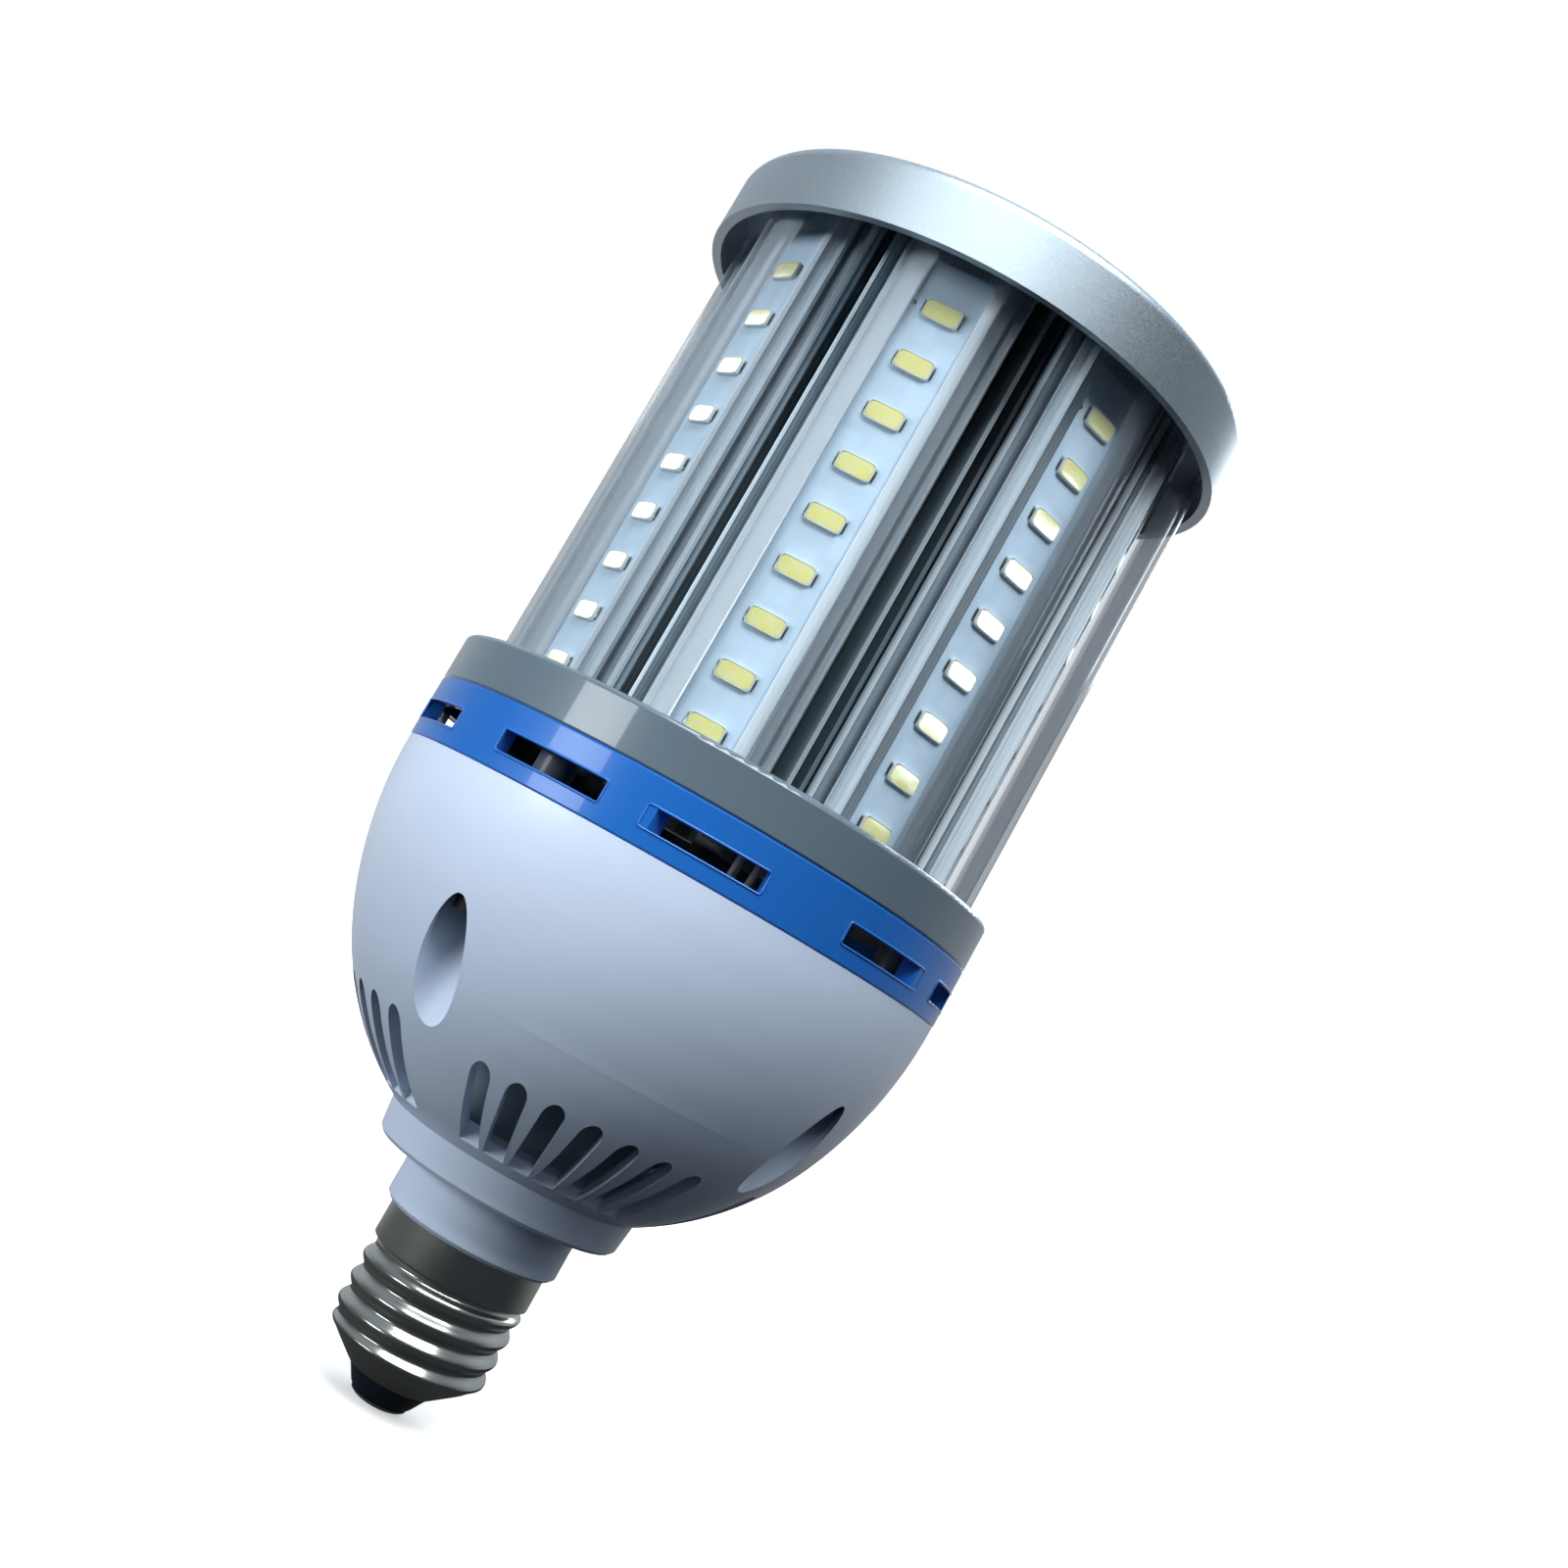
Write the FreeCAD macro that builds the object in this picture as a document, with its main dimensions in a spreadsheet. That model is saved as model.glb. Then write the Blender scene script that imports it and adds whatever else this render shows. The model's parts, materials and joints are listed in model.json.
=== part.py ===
import FreeCAD, Part
import math
import os
import Sketcher

# Screw-base lamp with eight strips of light packages on a finned extrusion.
#
# Frame: +Z runs from the screw base to the cap, the origin is the lowest point
# of the centre contact, and the first strip faces -Y. Directions round the axis
# are given as angles from -Y towards +X.

SIZES = {
    # over-all forms
    "collar_diameter": 93.0,
    "body_wall": 1.8,
    "strip_count": 8,
    "corner_round": 0.8,
    "seam_edge": 0.3,
    # screw base
    "contact_radius": 4.6,
    "contact_height": 0.9,
    "rivet_radius": 1.6,
    "rivet_length": 9.6,
    "insulator_radius": 4.8,
    "insulator_length": 3.4,
    "cone_mouth_radius": 7.2,
    "cone_length": 3.9,
    "thread_length": 13.6,
    "thread_root_radius": 12.1,
    "thread_crest_radius": 13.1,
    "thread_pitch": 3.629,
    "thread_turns": 3.0,
    "thread_foot_width": 2.6,
    "thread_crest_width": 0.9,
    "thread_lead_in": 1.4,
    "band_step": 0.4,
    "band_radius": 13.15,
    "band_length": 6.2,
    "shell_wall": 0.3,
    # driver housing
    "neck_radius": 14.55,
    "neck_length": 8.1,
    "neck_edge": 0.6,
    "stub_length": 8.5,
    "stub_clearance": 0.1,
    "wire_bore_radius": 10.2,
    "ring_low_radius": 20.5,
    "ring_top_radius": 21.1,
    "ring_height": 5.3,
    "ring_edge": 0.6,
    "dome_radius": 46.4,
    "dome_height": 48.6,
    "shoulder_radius": 40.2,
    "shoulder_drop": 27.9,
    "dome_upper_arc": 65.5,
    "dome_lower_arc": 47.1,
    "vent_width": 3.3,
    "vent_inner_radius": 24.0,
    "vent_outer_radius": 36.2,
    "vent_step_angle": 9.5,
    "vent_centre_angle": 22.5,
    "guard_wall": 1.0,
    "guard_play": 0.1,
    # long housing screws
    "pillar_angle": -22.5,
    "pillar_circle_radius": 40.3,
    "pillar_radius": 2.9,
    "pocket_radius": 4.0,
    "pocket_wall": 1.6,
    "pocket_roof_drop": 16.6,
    "pocket_roof": 2.0,
    "screw_radius": 1.45,
    "screw_clearance": 0.2,
    "screw_head_radius": 2.8,
    "screw_head_height": 2.0,
    "screw_socket_depth": 1.1,
    "screw_socket_radius": 1.3,
    "screw_socket_half": 0.33,
    "housing_screw_bite": 5.0,
    # vent ring
    "vent_ring_height": 9.9,
    "lip_height": 1.5,
    "lip_wall": 0.7,
    "lip_clearance": 0.15,
    "slot_height": 3.4,
    "slot_drop": 3.9,
    "slot_angle": 23.2,
    "slot_slant": 5.0,
    "slot_centre_1": -55.75,
    "slot_centre_2": -18.75,
    "slot_centre_3": 12.2,
    "slot_centre_4": 52.6,
    "slot_centre_5": 83.15,
    # collar
    "collar_height": 7.5,
    "collar_floor": 2.5,
    "collar_wall": 2.4,
    "floor_bore_radius": 9.0,
    "boss_radius": 3.2,
    "boss_height": 4.4,
    "lead_hole_radius": 2.2,
    "lead_hole_circle_radius": 37.6,
    # heat sink extrusion
    "sink_length": 90.0,
    "hub_radius": 12.0,
    "hub_bore_radius": 8.0,
    "port_circle_radius": 14.5,
    "port_wall_radius": 3.2,
    "port_play": 0.05,
    "web_half": 1.5,
    "seat_height": 35.7,
    "seat_half": 8.6,
    "groove_half": 7.4,
    "groove_top": 0.6,
    "groove_width": 0.95,
    "flange_half": 10.3,
    "flange_thickness": 1.2,
    "rib_half": 9.4,
    "rib_gap": 1.0,
    "rib_thickness": 0.7,
    "keel_half": 8.6,
    "keel_depth": 1.2,
    "fin_half": 0.35,
    "middle_fin_radius": 34.0,
    "side_fin_radius": 29.0,
    "side_fin_offset": 3.4,
    "board_play": 0.12,
    "board_lip_wall": 1.35,
    "board_lip_grip": 0.5,
    "board_lip_height": 0.55,
    # light strips
    "board_half": 5.6,
    "board_thickness": 1.2,
    "board_base": 1.0,
    "board_length": 81.7,
    "package_half_width": 2.85,
    "package_length": 3.0,
    "package_height": 0.75,
    "package_pitch": 8.557,
    "package_count": 9,
    "package_end": 7.3,
    "package_rim": 0.35,
    "gel_depth": 0.35,
    # clear strip covers
    "cover_radius": 10.5,
    "cover_centre_height": 32.4,
    "cover_wall": 1.0,
    "cover_play": 0.1,
    "hook_reach": 7.7,
    "hook_thickness": 0.72,
    "cover_base": 3.0,
    "cover_length": 83.5,
    # cap
    "cap_radius": 45.7,
    "cap_height": 10.7,
    "cap_wall": 1.6,
    "cap_plate": 1.8,
    "cap_round": 2.0,
    "cap_screw_bite": 9.0,
    "sink_screw_bite": 9.0,
    # driver circuit board and its parts, placed from the board's middle
    "driver_radius": 36.6,
    "driver_thickness": 1.6,
    "driver_bore_radius": 3.0,
    "transformer_width": 25.0,
    "transformer_depth": 21.0,
    "transformer_height": 16.0,
    "transformer_gap": 2.0,
    "core_leg": 5.0,
    "core_thickness": 8.0,
    "coil_play": 0.2,
    "bulk_radius": 8.0,
    "bulk_height": 17.0,
    "bulk_x": -20.2,
    "bulk_y": 4.0,
    "output_radius": 5.0,
    "output_height": 16.0,
    "first_output_x": 24.9,
    "first_output_y": -11.0,
    "second_output_x": 29.3,
    "second_output_y": 1.0,
    "choke_radius": 6.0,
    "choke_height": 9.0,
    "choke_neck_radius": 3.0,
    "choke_flange": 1.8,
    "choke_x": 18.0,
    "choke_y": 12.0,
    "film_width": 13.0,
    "film_depth": 6.0,
    "film_height": 11.0,
    "film_x": -22.9,
    "film_y": -14.3,
    "bridge_width": 15.0,
    "bridge_depth": 3.6,
    "bridge_height": 10.5,
    "bridge_x": 3.0,
    "bridge_y": 28.4,
    "switch_width": 10.2,
    "switch_depth": 4.5,
    "switch_height": 9.0,
    "switch_x": -12.2,
    "switch_y": 24.4,
    "tab_height": 15.5,
    "tab_thickness": 1.3,
    "fuse_radius": 1.9,
    "fuse_length": 11.0,
    "fuse_x": 16.0,
    "fuse_y": 18.3,
    # wires
    "wire_radius": 0.65,
    "wire_bend": 4.0,
    "tight_bend": 1.0,
    "link_radius": 0.5,
    "board_pad_inset": 3.0,
    "lead_rise": 0.9,
}

doc = FreeCAD.newDocument("screw_base_strip_lamp")
sheet = doc.addObject("Spreadsheet::Sheet", "dims")


class Size:
    """A number together with the sheet expression that gives it."""

    def __init__(self, value, text):
        self.value = float(value)
        self.text = text

    def __add__(self, other):
        other = size(other)
        return Size(self.value + other.value, "(%s + %s)" % (self.text, other.text))

    def __radd__(self, other):
        return size(other) + self

    def __sub__(self, other):
        other = size(other)
        return Size(self.value - other.value, "(%s - %s)" % (self.text, other.text))

    def __rsub__(self, other):
        return size(other) - self

    def __mul__(self, other):
        other = size(other)
        return Size(self.value * other.value, "%s * %s" % (self.text, other.text))

    def __rmul__(self, other):
        return size(other) * self

    def __truediv__(self, other):
        other = size(other)
        return Size(self.value / other.value, "%s / (%s)" % (self.text, other.text))

    def __neg__(self):
        return Size(-self.value, "(0 - %s)" % self.text)


def size(number):
    if isinstance(number, Size):
        return number
    return Size(number, "%.6g" % number if number >= 0 else "(0 - %.6g)" % -number)


def cos(angle):
    angle = size(angle)
    return Size(math.cos(math.radians(angle.value)), "cos(%s)" % angle.text)


def sin(angle):
    angle = size(angle)
    return Size(math.sin(math.radians(angle.value)), "sin(%s)" % angle.text)


def root(number):
    return Size(math.sqrt(number.value), "sqrt(%s)" % number.text)


def fill_sheet():
    for row, (name, number) in enumerate(SIZES.items(), start=1):
        sheet.set("A%d" % row, name)
        sheet.set("B%d" % row, str(number))
        sheet.setAlias("B%d" % row, name)
    doc.recompute()


class Dims:
    """The sheet's cells by name."""

    def __getattr__(self, name):
        return Size(sheet.get(name), "dims.%s" % name)


fill_sheet()
D = Dims()

# Heights of the joints between the pieces, from the tip up.
CONE_END = D.contact_height + D.insulator_length
THREAD_END = CONE_END + D.cone_length
BAND_END = THREAD_END + D.thread_length
NECK_END = BAND_END + D.band_length
RING_LOW = NECK_END + D.neck_length
RING_TOP = RING_LOW + D.ring_height
DOME_TOP = RING_TOP + D.dome_height
VENT_RING_TOP = DOME_TOP + D.vent_ring_height
FLOOR_TOP = VENT_RING_TOP + D.collar_floor
COLLAR_TOP = VENT_RING_TOP + D.collar_height
SINK_TOP = FLOOR_TOP + D.sink_length
CAP_TOP = SINK_TOP + D.cap_plate
POCKET_ROOF = DOME_TOP - D.pocket_roof_drop
DRIVER_BASE = POCKET_ROOF + D.pocket_roof
DRIVER_TOP = DRIVER_BASE + D.driver_thickness
COLLAR_RADIUS = D.collar_diameter / 2
BODY_BORE = COLLAR_RADIUS - D.collar_wall
STEP_ANGLE = size(360) / D.strip_count
COUNT = int(SIZES["strip_count"])
PILLAR_ANGLES = [D.pillar_angle + 90 * k for k in range(4)]
PORT_ANGLES = [STEP_ANGLE / 2 + 90 * k for k in range(4)]


def polar(radius, angle):
    """Plan point at an angle from -Y towards +X."""
    radius = size(radius)
    return (radius * sin(angle), -(radius * cos(angle)))


def radial_rectangle(angle, near, far, half, shift=0):
    """Plan corners of a bar that runs outwards along an angle."""
    along = (sin(angle), -cos(angle))
    across = (cos(angle), sin(angle))
    corners = []
    for radius, side in ((near, -half), (far, -half), (far, half), (near, half)):
        offset = side + shift
        corners.append((along[0] * radius + across[0] * offset, along[1] * radius + across[1] * offset))
    return corners


# Sketch and feature helpers.

def new_body(label):
    body = doc.addObject("PartDesign::Body", label)
    body.Label = label
    return body


def base_plane(body, role):
    return next(item for item in body.Origin.OriginFeatures if item.Role == role)


def new_sketch(body, role, lift=None):
    sketch = body.newObject("Sketcher::SketchObject", body.Name + "_sketch")
    sketch.AttachmentSupport = [(base_plane(body, role), "")]
    sketch.MapMode = "FlatFace"
    if lift is not None:
        sketch.setExpression("AttachmentOffset.Base.z", size(lift).text)
    return sketch


def bind(sketch, kind, geometry, position, number):
    number = size(number)
    index = sketch.addConstraint(Sketcher.Constraint(kind, -1, 1, geometry, position, number.value))
    if "dims." in number.text:
        sketch.setExpression("Constraints[%d]" % index, number.text)


def arc_between(start, end, radius, side):
    """Arc from start to end; side 1 turns left along the way, -1 turns right."""
    sx, sy = start[0].value, start[1].value
    ex, ey = end[0].value, end[1].value
    chord = math.hypot(ex - sx, ey - sy)
    rise = math.sqrt(max(radius ** 2 - chord ** 2 / 4, 0.0)) * side
    cx = (sx + ex) / 2 - (ey - sy) / chord * rise
    cy = (sy + ey) / 2 + (ex - sx) / chord * rise
    first = math.atan2(sy - cy, sx - cx)
    last = math.atan2(ey - cy, ex - cx)
    if side < 0:
        first, last = last, first
    circle = Part.Circle(FreeCAD.Vector(cx, cy, 0), FreeCAD.Vector(0, 0, 1), radius)
    return Part.ArcOfCircle(circle, first, last)


def draw_loop(sketch, points, arcs=None):
    """Closed outline through the points; arcs maps an edge to (radius, side)."""
    arcs = arcs or {}
    points = [(size(x), size(y)) for x, y in points]
    ends = []
    for index, start in enumerate(points):
        end = points[(index + 1) % len(points)]
        if index in arcs:
            radius, side = arcs[index]
            radius = size(radius)
            number = sketch.addGeometry(arc_between(start, end, radius.value, side), False)
            ends.append((number, 1, 2) if side > 0 else (number, 2, 1))
            item = sketch.addConstraint(Sketcher.Constraint("Radius", number, radius.value))
            if "dims." in radius.text:
                sketch.setExpression("Constraints[%d]" % item, radius.text)
        else:
            line = Part.LineSegment(
                FreeCAD.Vector(start[0].value, start[1].value, 0),
                FreeCAD.Vector(end[0].value, end[1].value, 0),
            )
            number = sketch.addGeometry(line, False)
            ends.append((number, 1, 2))
    for index, (number, first, last) in enumerate(ends):
        after, after_first, after_last = ends[(index + 1) % len(ends)]
        sketch.addConstraint(Sketcher.Constraint("Coincident", number, last, after, after_first))
        bind(sketch, "DistanceX", number, first, points[index][0])
        bind(sketch, "DistanceY", number, first, points[index][1])


def draw_circle(sketch, centre, radius):
    x, y = size(centre[0]), size(centre[1])
    radius = size(radius)
    circle = Part.Circle(FreeCAD.Vector(x.value, y.value, 0), FreeCAD.Vector(0, 0, 1), radius.value)
    number = sketch.addGeometry(circle, False)
    bind(sketch, "DistanceX", number, 3, x)
    bind(sketch, "DistanceY", number, 3, y)
    item = sketch.addConstraint(Sketcher.Constraint("Radius", number, radius.value))
    if "dims." in radius.text:
        sketch.setExpression("Constraints[%d]" % item, radius.text)


def pad(body, sketch, length, kind="PartDesign::Pad", backwards=False):
    feature = body.newObject(kind, body.Name + "_pad")
    feature.Profile = sketch
    feature.Length = size(length).value
    feature.setExpression("Length", size(length).text)
    feature.Reversed = backwards
    body.Tip = feature
    return feature


def cut(body, sketch, length, backwards=True):
    """Pocket along the sketch's normal when backwards is set."""
    return pad(body, sketch, length, "PartDesign::Pocket", backwards)


def revolve(body, points, arcs=None, kind="PartDesign::Revolution"):
    """Full turn about Z of an outline given as (radius, height) points."""
    sketch = new_sketch(body, "XZ_Plane")
    draw_loop(sketch, points, arcs)
    feature = body.newObject(kind, body.Name + "_turn")
    feature.Profile = sketch
    feature.ReferenceAxis = (sketch, ["V_Axis"])
    feature.Angle = 360
    body.Tip = feature
    return feature


def repeat_round(body, originals, count, angle=360):
    pattern = body.newObject("PartDesign::PolarPattern", body.Name + "_round")
    pattern.Originals = originals
    pattern.Axis = (base_axis(body, "Z_Axis"), [""])
    pattern.Angle = angle
    pattern.Occurrences = count
    if count == COUNT:
        pattern.setExpression("Occurrences", "dims.strip_count")
    body.Tip = pattern
    return pattern


def base_axis(body, role):
    return next(item for item in body.Origin.OriginFeatures if item.Role == role)


def turn(body, angle):
    """Turns a finished body about Z."""
    body.Placement = FreeCAD.Placement(
        FreeCAD.Vector(0, 0, 0), FreeCAD.Rotation(FreeCAD.Vector(0, 0, 1), size(angle).value)
    )
    body.setExpression("Placement.Rotation.Angle", size(angle).text)


def boolean(kind, label, base, tool):
    result = doc.addObject(kind, label)
    result.Label = label
    result.Base = base
    result.Tool = tool
    return result


# Screw base.

def make_centre_contact():
    body = new_body("centre_contact")
    edge = D.contact_height / 2
    top = D.contact_height + D.rivet_length
    revolve(body, [
        (0, 0), (D.contact_radius - edge, 0), (D.contact_radius, edge),
        (D.contact_radius, D.contact_height), (D.rivet_radius, D.contact_height),
        (D.rivet_radius, top), (0, top),
    ])
    return body


def make_contact_insulator():
    body = new_body("contact_insulator")
    inside = D.thread_root_radius - D.shell_wall
    mouth = D.cone_mouth_radius - D.shell_wall
    revolve(body, [
        (D.rivet_radius, D.contact_height), (D.insulator_radius, D.contact_height),
        (mouth, CONE_END), (inside, THREAD_END + D.shell_wall / 2),
        (inside, THREAD_END + D.shell_wall * 4), (D.rivet_radius, THREAD_END + D.shell_wall * 4),
    ])
    return body


def make_screw_shell():
    """Thin sheet cap: smooth band, knuckle thread and cone."""
    body = new_body("screw_shell")
    wall = D.shell_wall
    inside = D.thread_root_radius - wall
    revolve(body, [
        (D.band_radius, NECK_END), (D.band_radius, BAND_END + D.band_step),
        (D.thread_root_radius, BAND_END), (D.thread_root_radius, THREAD_END),
        (D.cone_mouth_radius, CONE_END), (D.cone_mouth_radius - wall, CONE_END),
        (inside, THREAD_END + wall / 2), (inside, BAND_END + wall),
        (D.band_radius - wall, BAND_END + D.band_step + wall), (D.band_radius - wall, NECK_END),
    ])
    first = THREAD_END + D.thread_lead_in
    sunk = D.thread_root_radius - wall / 2
    sketch = new_sketch(body, "XZ_Plane")
    draw_loop(sketch, [
        (sunk, first - D.thread_foot_width / 2),
        (D.thread_crest_radius, first - D.thread_crest_width / 2),
        (D.thread_crest_radius, first + D.thread_crest_width / 2),
        (sunk, first + D.thread_foot_width / 2),
    ])
    thread = body.newObject("PartDesign::AdditiveHelix", "thread_ridge")
    thread.Profile = sketch
    thread.ReferenceAxis = (sketch, ["V_Axis"])
    thread.Mode = 1
    thread.Growth = 0
    thread.Angle = 0
    thread.setExpression("Pitch", "dims.thread_pitch")
    thread.setExpression("Turns", "dims.thread_turns")
    body.Tip = thread
    return body


# Driver housing: one moulding with dome, neck, vents and screw pockets.

def dome_outline(shrink, floor_lift):
    """Points of the dome's flank, drawn in by the wall for the cavity."""
    return [
        (D.dome_radius - shrink, DOME_TOP),
        (D.shoulder_radius - shrink, DOME_TOP - D.shoulder_drop),
        (D.ring_top_radius - shrink, RING_TOP + floor_lift),
    ]


def make_housing_form():
    body = new_body("housing_form")
    stub = D.band_radius - D.shell_wall - D.stub_clearance
    stub_low = D.thread_root_radius - D.shell_wall - D.stub_clearance
    stub_step = BAND_END + D.band_step + D.shell_wall + D.stub_clearance
    flank = dome_outline(0, 0)
    revolve(body, [
        (0, DOME_TOP), (0, NECK_END - D.stub_length), (stub_low, NECK_END - D.stub_length),
        (stub_low, stub_step), (stub, stub_step), (stub, NECK_END),
        (D.neck_radius - D.neck_edge, NECK_END), (D.neck_radius, NECK_END + D.neck_edge),
        (D.neck_radius, RING_LOW), (D.ring_low_radius - D.ring_edge, RING_LOW),
        (D.ring_low_radius, RING_LOW + D.ring_edge),
        flank[2], flank[1], flank[0],
    ], {11: (D.dome_lower_arc, 1), 12: (D.dome_upper_arc, 1)})
    return body


def make_housing_cavity():
    body = new_body("housing_cavity")
    flank = dome_outline(D.body_wall, D.body_wall)
    revolve(body, [
        (0, DOME_TOP), (0, RING_TOP), (D.wire_bore_radius, RING_TOP),
        flank[2], flank[1], flank[0],
    ], {3: (D.dome_lower_arc, 1), 4: (D.dome_upper_arc, 1)})
    sketch = new_sketch(body, "XY_Plane", RING_TOP)
    draw_circle(sketch, (0, 0), D.wire_bore_radius)
    pad(body, sketch, RING_TOP - NECK_END + D.stub_length, backwards=True)
    return body


def make_round_set(label, angles, circle, radius, low, high):
    """Upright cylinders at the given angles on a circle, as a body to cut or add."""
    body = new_body(label)
    sketch = new_sketch(body, "XY_Plane", low)
    for angle in angles:
        draw_circle(sketch, polar(circle, angle), radius)
    pad(body, sketch, high - low)
    return body


def vent_angles():
    """Vent groups between the screw pockets: seven and eight in turn."""
    angles = []
    for group in range(4):
        number = 7 if group % 2 == 0 else 8
        for item in range(number):
            angles.append(D.vent_centre_angle + 90 * group + D.vent_step_angle * (item - (number - 1) / 2))
    return angles


def make_vent_tool():
    """Radial slots with a round outer end, cut upright through the dome's wall."""
    body = new_body("vent_tool")
    half = D.vent_width / 2
    straight = D.vent_outer_radius - half
    low = RING_TOP - D.body_wall
    slots = new_sketch(body, "XY_Plane", low)
    for angle in vent_angles():
        draw_loop(slots, radial_rectangle(angle, D.vent_inner_radius, straight, half))
    pad(body, slots, D.shoulder_drop)
    ends = new_sketch(body, "XY_Plane", low)
    for angle in vent_angles():
        draw_circle(ends, polar(straight, angle), half)
    pad(body, ends, D.shoulder_drop)
    return body


def make_driver_housing():
    circle = D.pillar_circle_radius
    bosses = make_round_set("pocket_bosses", PILLAR_ANGLES, circle, D.pocket_radius + D.pocket_wall,
                            RING_TOP, DRIVER_BASE)
    hollow = boolean("Part::Cut", "housing_hollow", make_housing_cavity(), bosses)
    walled = boolean("Part::Cut", "housing_walled", make_housing_form(), hollow)
    pillars = make_round_set("pillars", PILLAR_ANGLES, circle, D.pillar_radius,
                             DRIVER_BASE - D.pocket_roof / 2, VENT_RING_TOP)
    raised = boolean("Part::Fuse", "housing_raised", walled, pillars)
    pockets = make_round_set("screw_pockets", PILLAR_ANGLES, circle, D.pocket_radius, NECK_END, POCKET_ROOF)
    bores = make_round_set("screw_bores", PILLAR_ANGLES, circle, D.screw_radius + D.screw_clearance,
                           POCKET_ROOF - D.pocket_roof, VENT_RING_TOP)
    ways = boolean("Part::Fuse", "screw_ways", pockets, bores)
    drilled = boolean("Part::Cut", "housing_drilled", raised, ways)
    return boolean("Part::Cut", "driver_housing", drilled, make_vent_tool())


def make_vent_guard():
    """Tube from the housing's floor to the circuit board, round the wires to the base."""
    body = new_body("vent_guard")
    outer = D.ring_top_radius - D.body_wall - D.guard_play
    inner = outer - D.guard_wall
    low = RING_TOP + D.body_wall
    revolve(body, [(inner, low), (outer, low), (outer, DRIVER_BASE), (inner, DRIVER_BASE)])
    return body


# Vent ring and collar.

def slot_outline(centre, near_slant, far_slant):
    """Plan of one slot; a slant turns its end wall on the way in."""
    outer = COLLAR_RADIUS + D.collar_wall
    inner = BODY_BORE - D.lip_wall * 2
    half = D.slot_angle / 2
    return [
        polar(outer, centre - half), polar(outer, centre + half),
        polar(inner, centre + half - far_slant), polar(inner, centre - half + near_slant),
    ]


def make_vent_ring():
    body = new_body("vent_ring")
    lip_out = D.dome_radius - D.body_wall - D.lip_clearance
    lip_in = lip_out - D.lip_wall
    edge = D.seam_edge
    revolve(body, [
        (lip_in, DOME_TOP - D.lip_height), (lip_out, DOME_TOP - D.lip_height), (lip_out, DOME_TOP),
        (COLLAR_RADIUS - edge, DOME_TOP), (COLLAR_RADIUS, DOME_TOP + edge),
        (COLLAR_RADIUS, VENT_RING_TOP - edge), (COLLAR_RADIUS - edge, VENT_RING_TOP),
        (BODY_BORE, VENT_RING_TOP),
        (BODY_BORE, DOME_TOP + D.lip_height), (lip_in, DOME_TOP + D.lip_height),
    ])
    sketch = new_sketch(body, "XY_Plane", VENT_RING_TOP - D.slot_drop)
    draw_loop(sketch, slot_outline(D.slot_centre_1, size(0), size(0)))
    draw_loop(sketch, slot_outline(D.slot_centre_2, size(0), size(0)))
    draw_loop(sketch, slot_outline(D.slot_centre_3, D.slot_slant, size(0)))
    draw_loop(sketch, slot_outline(D.slot_centre_4, size(0), D.slot_slant))
    draw_loop(sketch, slot_outline(D.slot_centre_5, size(0), size(0)))
    slots = cut(body, sketch, D.slot_height, backwards=False)
    repeat_round(body, [slots], 2)
    return body


def make_collar_ring():
    """Collar with the floor that carries the extrusion."""
    body = new_body("collar_ring")
    lip_out = BODY_BORE - D.lip_clearance
    lip_in = lip_out - D.lip_wall
    rim = COLLAR_RADIUS - D.corner_round
    revolve(body, [
        (D.floor_bore_radius, VENT_RING_TOP), (lip_in, VENT_RING_TOP),
        (lip_in, VENT_RING_TOP - D.lip_height), (lip_out, VENT_RING_TOP - D.lip_height),
        (lip_out, VENT_RING_TOP), (COLLAR_RADIUS - D.seam_edge, VENT_RING_TOP),
        (COLLAR_RADIUS, VENT_RING_TOP + D.seam_edge), (COLLAR_RADIUS, COLLAR_TOP - D.corner_round),
        (rim, COLLAR_TOP), (BODY_BORE, COLLAR_TOP), (BODY_BORE, FLOOR_TOP), (D.floor_bore_radius, FLOOR_TOP),
    ], {7: (D.corner_round, 1)})
    bosses = new_sketch(body, "XY_Plane", FLOOR_TOP)
    for angle in PILLAR_ANGLES:
        draw_circle(bosses, polar(D.pillar_circle_radius, angle), D.boss_radius)
    pad(body, bosses, D.boss_height)
    holes = new_sketch(body, "XY_Plane", VENT_RING_TOP)
    for angle in PILLAR_ANGLES:
        draw_circle(holes, polar(D.pillar_circle_radius, angle), D.screw_radius)
    cut(body, holes, D.housing_screw_bite + D.corner_round)
    through = new_sketch(body, "XY_Plane", VENT_RING_TOP)
    for angle in PORT_ANGLES:
        draw_circle(through, polar(D.port_circle_radius, angle), D.screw_radius + D.screw_clearance)
    for side in (-1, 1):
        spot = polar(D.lead_hole_circle_radius, STEP_ANGLE / 2 + side * D.lead_hole_radius)
        draw_circle(through, spot, D.wire_radius + D.screw_clearance)
    cut(body, through, D.collar_floor)
    return body


# Heat sink extrusion.

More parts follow.
